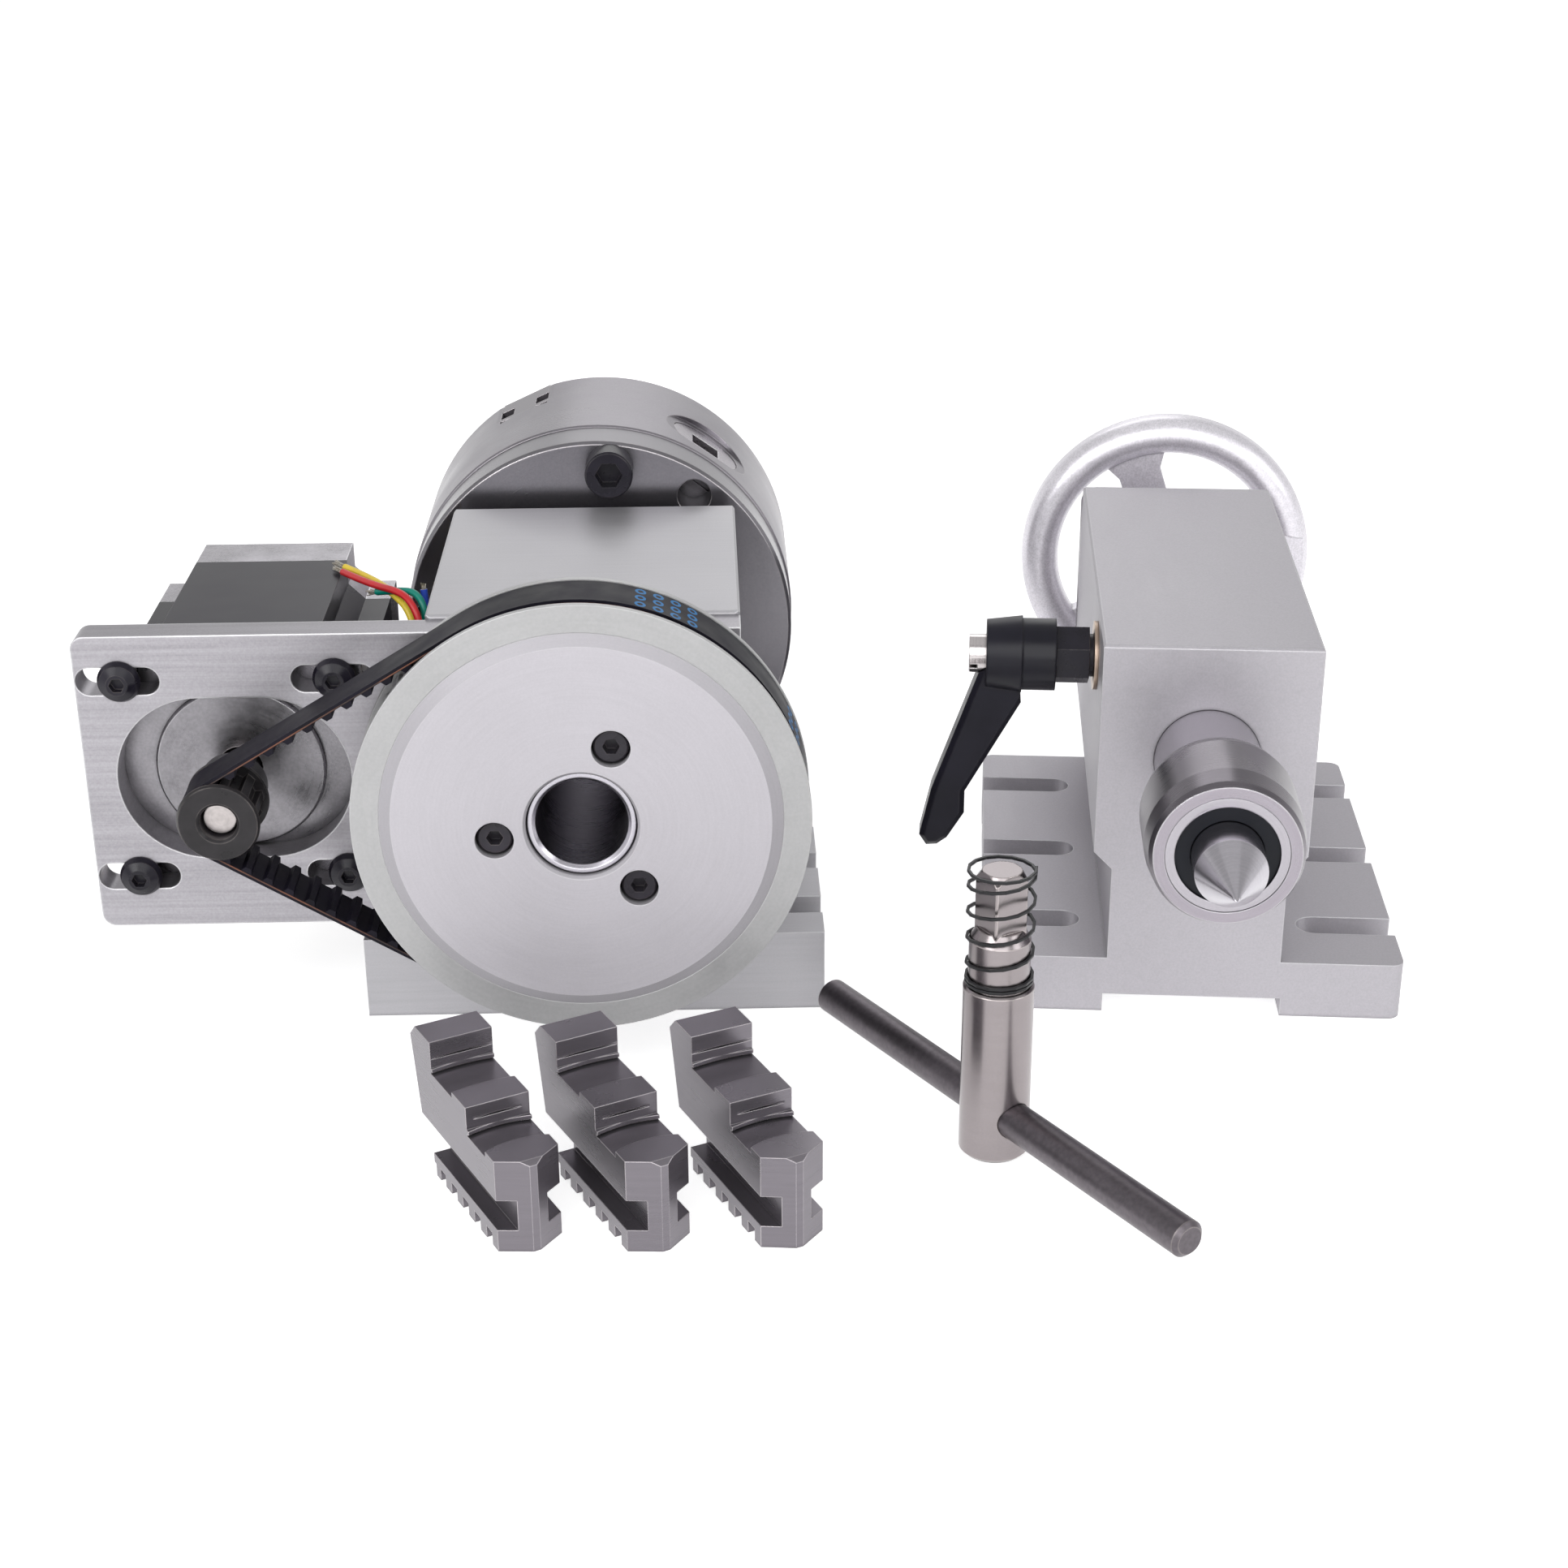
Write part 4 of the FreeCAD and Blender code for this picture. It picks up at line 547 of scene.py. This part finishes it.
backPlateIron = like(chuckIron, pockets=spareHolePlaces(spareHoles), pocketRadius=spareHoles["radius"],
                     colour=(0.23, 0.23, 0.235), bright=(0.7, 0.66, 0.67), rough=0.26, fine=1300,
                     swing=0.03, bump=0.04, roughSwing=0.01, markRough=0.01, cloud=0.03, rim=0.8,
                     crevice=0.006)
scrollSteel = like(chuckIron, colour=(0.4, 0.4, 0.41), rough=0.3)
jawSteel = like(plainMetal, colour=(0.195, 0.187, 0.197), bright=(0.66, 0.62, 0.64), rough=0.28,
                stretch=(50, 50, 1100), swing=0.05, metal=0.78, cloud=0.02, roughSwing=0.01,
                markRough=0.01, speck=0.0, speckDepth=0.0, bump=0.03, edge=0.00028, rim=0.9,
                crevice=0.0011)
pinionSteel = like(plainMetal, colour=(0.42, 0.41, 0.42), rough=0.26, stretch=(900, 900, 900), rim=0.9)
dress("chuck_body chuck_cover", metal("ChuckIron", chuckIron))
dress("back_plate", metal("BackPlate", backPlateIron))
dress("scroll", metal("ScrollSteel", scrollSteel))
dress("jaw_1 jaw_2 jaw_3 outside_jaw_1 outside_jaw_2 outside_jaw_3", metal("JawSteel", jawSteel))
dress("pinion_1 pinion_2 pinion_3", metal("PinionSteel", pinionSteel))

# motor
bellAluminium = like(plainMetal, **motorAxis, faceLift=0.5, colour=(0.47, 0.47, 0.475), rough=0.3,
                     speck=0.08, speckScale=1500, speckDepth=0.8, cloud=0.2, cloudScale=110,
                     fine=1200, swing=0.04, metal=0.95, crevice=0.004, rim=0.9)
shaftSteel = like(plainMetal, **motorAxis, colour=(0.46, 0.44, 0.41), rough=0.36, fine=2500, speck=0.1,
                  speckScale=700)
dress("motor_front_bell motor_rear_bell", metal("BellAluminium", bellAluminium))
dress("motor_rotor", metal("ShaftSteel", shaftSteel))

# tailstock's turned pieces
quillSteel = like(plainMetal, **tailAxis, colour=(0.4, 0.395, 0.405), rough=0.24, fine=3000, swing=0.04,
                  bump=0.1, markRough=0.02, cloud=0.02)
barrelSteel = like(quillSteel, colour=(0.18, 0.172, 0.182), rough=0.29, swing=0.05, rim=0.7, faceLift=1.9)
pointSteel = like(quillSteel, colour=(0.5, 0.5, 0.51), rough=0.19, fine=2600, swing=0.05, bump=0.12)
ringSteel = like(quillSteel, rough=0.2)
wheelSilver = like(plainMetal, colour=(0.8, 0.805, 0.81), rough=0.36, stretch=(700, 700, 700),
                   swing=0.05, speck=0.1, speckScale=2200, speckDepth=0.9, bump=0.4, cloud=0.04,
                   edge=0.0005, rim=0.4, metal=0.65)
studSteel = like(plainMetal, **clampAxis, colour=(0.62, 0.6, 0.57), rough=0.22, fine=2600)
copperRing = like(plainMetal, **clampAxis, colour=(0.5, 0.4, 0.3), bright=(0.72, 0.62, 0.5), rough=0.34)
dress("quill", metal("QuillSteel", quillSteel))
dress("centre_housing thrust_plate", metal("BarrelSteel", barrelSteel))
dress("centre_point", metal("PointSteel", pointSteel))
dress("centre_bearing_ring feed_screw handwheel_nut clamp_pads", metal("RingSteel", ringSteel))
dress("handwheel", metal("WheelSilver", wheelSilver))
dress("lever_screw", metal("StudSteel", studSteel))
dress("clamp_washer", metal("CopperRing", copperRing))

# chuck key
keySteel = like(plainMetal, **keyAxis, colour=(0.3, 0.28, 0.27), bright=(0.66, 0.6, 0.57), rough=0.25,
                swing=0.02, cloud=0.04, cloudScale=45, rim=0.8, slow=40, fine=700, bump=0.04,
                markRough=0.01, roughSwing=0.02)
keyBar = like(keySteel, colour=(0.14, 0.13, 0.135), bright=(0.45, 0.41, 0.39), rough=0.4, cloud=0.08,
              cloudScale=90, speck=0.1, speckScale=900)
dress("key_body", metal("KeySteel", keySteel))
dress("key_bar", metal("KeyBarSteel", keyBar))


def blackened(name, look):
    # black finishes: dark, with rubbed brown-grey edges and a soft satin
    paint = newPaint(name)
    place = paint.place()
    clouds = paint.noise(place, look["cloudScale"], 3, 0.6)
    height = paint.noise(place, look["grainScale"], 2, 0.6)
    rounded, rim = paint.edges(look["edge"])
    worn = rim * paint.span(clouds, *look["handled"]) * look["wear"]
    tone = paint.shaded(look["colour"], paint.vary(clouds, *look["shade"]))
    rough = look["rough"] + paint.vary(clouds, -look["roughSwing"], look["roughSwing"])
    rough = rough - worn * look["wornGloss"]
    if "lines" in look:
        lines = paint.noise(paint.vectors("MULTIPLY", place, look["lines"]), 1.0, 2)
        height = height * look["grainShare"] + lines
    bump = paint.bump(height, look["bump"], look["depth"], rounded)
    return paint.finish(colour=paint.mix(worn, tone, look["worn"]), rough=rough, metal=look["metal"],
                        normal=bump, specular=look["specular"])


plainBlack = {"colour": (0.011, 0.0095, 0.016), "shade": (0.75, 1.3), "worn": (0.2, 0.18, 0.17),
              "wear": 0.5, "handled": (0.4, 0.62), "wornGloss": 0.1, "rough": 0.36, "roughSwing": 0.07,
              "cloudScale": 160, "grainScale": 2400, "grainShare": 0.3, "edge": 0.0003,
              "bump": 0.15, "depth": 0.00003, "metal": 0.0, "specular": 0.28}
blackScrew = like(plainBlack, rough=0.3)
pulleyScrew = like(blackScrew, colour=(0.026, 0.023, 0.03))
smallPulley = like(plainBlack, colour=(0.02, 0.018, 0.02), rough=0.32, wear=0.7, edge=0.0004)
motorStack = like(plainBlack, colour=(0.017, 0.0155, 0.022), rough=0.3, lines=(12, 1900, 12), bump=0.06,
                  wear=0.2, cloudScale=25)
leverCoat = like(plainBlack, colour=(0.006, 0.0055, 0.0115), rough=0.34, cloudScale=60, grainScale=1500,
                 bump=0.08, wear=0.04, edge=0.0008)
springWire = like(plainBlack, colour=(0.02, 0.02, 0.022), rough=0.3, wear=0.0)
sealRubber = like(plainBlack, colour=(0.006, 0.007, 0.011), rough=0.5, wear=0.0, specular=0.25)
screwFinish = blackened("BlackScrews", blackScrew)
dress("plate_screws motor_case_screws motor_screws spindle_screws", screwFinish)
dress("chuck_screws thrust_screws quill_key clamp_stud", screwFinish)
dress("pulley_screws", blackened("PulleyScrews", pulleyScrew))
dress("motor_pulley", blackened("SmallPulley", smallPulley))
dress("motor_stator", blackened("PaintedStack", motorStack))
dress("lever_handle", blackened("LeverCoat", leverCoat))
dress("key_spring", blackened("SpringWire", springWire))
dress("centre_seal lead_grommet", blackened("SealRubber", sealRubber))

# belt: smooth back with a few plain printed rings, fabric-faced teeth
belt = {"colour": (0.007, 0.006, 0.011), "shade": (0.7, 1.5), "print": (0.03, 0.19, 0.46),
        "pitchRadius": 0.0485, "backFrom": 0.0003, "front": -0.072, "bands": ((1.01, 1.33), (0.3, 0.46)),
        "cellAlong": 0.00388, "cellAcross": 0.004, "ringAlong": 0.0012, "ringAcross": 0.0015,
        "ringHollow": 0.5, "wornPrint": (0.25, 0.4), "wornScale": 900, "weave": (150, 3200, 150),
        "cloudScale": 120, "rough": (0.4, 0.55), "specular": 0.14, "bump": 0.3, "depth": 0.00005}


def printedRings(paint, along, out, look):
    # rows of small rings on the belt's back, within two stretches of its turn
    place = paint.place()
    height = paint.node("SeparateXYZ", None, {0: place}, 2) - spindleHeight
    left = paint.node("SeparateXYZ", None, {0: place}, 0)
    turn = paint.math("ARCTAN2", height, left)
    band = 0.0
    for low, high in look["bands"]:
        band = band + (turn > low) * (turn < high)
    column = (turn - look["bands"][0][0]) * (look["pitchRadius"] / look["cellAlong"])
    row = (along - look["front"]) / look["cellAcross"]
    column = (paint.math("FRACT", column) - 0.5) * (look["cellAlong"] / look["ringAlong"])
    row = (paint.math("FRACT", row) - 0.5) * (look["cellAcross"] / look["ringAcross"])
    reach = (column * column + row * row) ** 0.5
    outside = out > look["pitchRadius"] + look["backFrom"]
    return (reach > look["ringHollow"]) * (reach < 1.0) * band * outside


def beltRubber(look):
    paint = newPaint("BeltRubber")
    place = paint.place()
    along, out = paint.around(**spindleAxis)[:2]
    clouds = paint.noise(place, look["cloudScale"], 3)
    weave = paint.noise(paint.vectors("MULTIPLY", place, look["weave"]), 1.0, 2)
    worn = paint.span(paint.noise(place, look["wornScale"], 2), *look["wornPrint"])
    tone = paint.shaded(look["colour"], paint.vary(clouds, *look["shade"]))
    ink = printedRings(paint, along, out, look) * worn
    return paint.finish(colour=paint.mix(ink, tone, look["print"]), rough=paint.vary(clouds, *look["rough"]),
                        normal=paint.bump(weave, look["bump"], look["depth"]), specular=look["specular"])


dress("drive_belt", beltRubber(belt))

# the brown tension cord that shows as a line in the belt's cut edge
beltCord = {"large": 0.04851, "small": 0.008085, "lean": math.radians(31.13), "radius": 0.00017,
            "steps": (40, 9), "colour": (0.16, 0.062, 0.036), "dusty": (0.03, 0.018, 0.016),
            "twistScale": 1800, "fadeScale": 90, "fadeReach": (0.42, 0.6), "rough": (0.55, 0.75),
            "bump": 0.4, "depth": 0.0001}


def cordFibre(look):
    paint = newPaint("CordFibre")
    twist = paint.noise(paint.place(), look["twistScale"], 2)
    fade = paint.noise(paint.place(), look["fadeScale"], 2)
    tone = paint.mix(paint.span(fade, *look["fadeReach"]), look["colour"], look["dusty"])
    return paint.finish(colour=tone, rough=paint.vary(twist, *look["rough"]),
                        normal=paint.bump(twist, look["bump"], look["depth"]))


def arcOfCord(centre, radius, first, last, steps):
    turns = [first + (last - first) * step / steps for step in range(steps + 1)]
    return [(centre + radius * math.cos(turn), belt["front"], spindleHeight + radius * math.sin(turn))
            for turn in turns]


def makeBeltCord(look):
    turn = math.pi / 2 + look["lean"]
    largeSteps, smallSteps = look["steps"]
    places = (arcOfCord(0, look["large"], turn, -turn, largeSteps)
              + arcOfCord(motorAcross, look["small"], -turn, turn - 2 * math.pi, smallSteps))
    piece = curvePiece("belt.tension_cord", places, look["radius"], closed=True, fineness=2)
    piece.data.materials.append(cordFibre(look))
    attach(piece, "headstock")


makeBeltCord(beltCord)
print("finishes set")
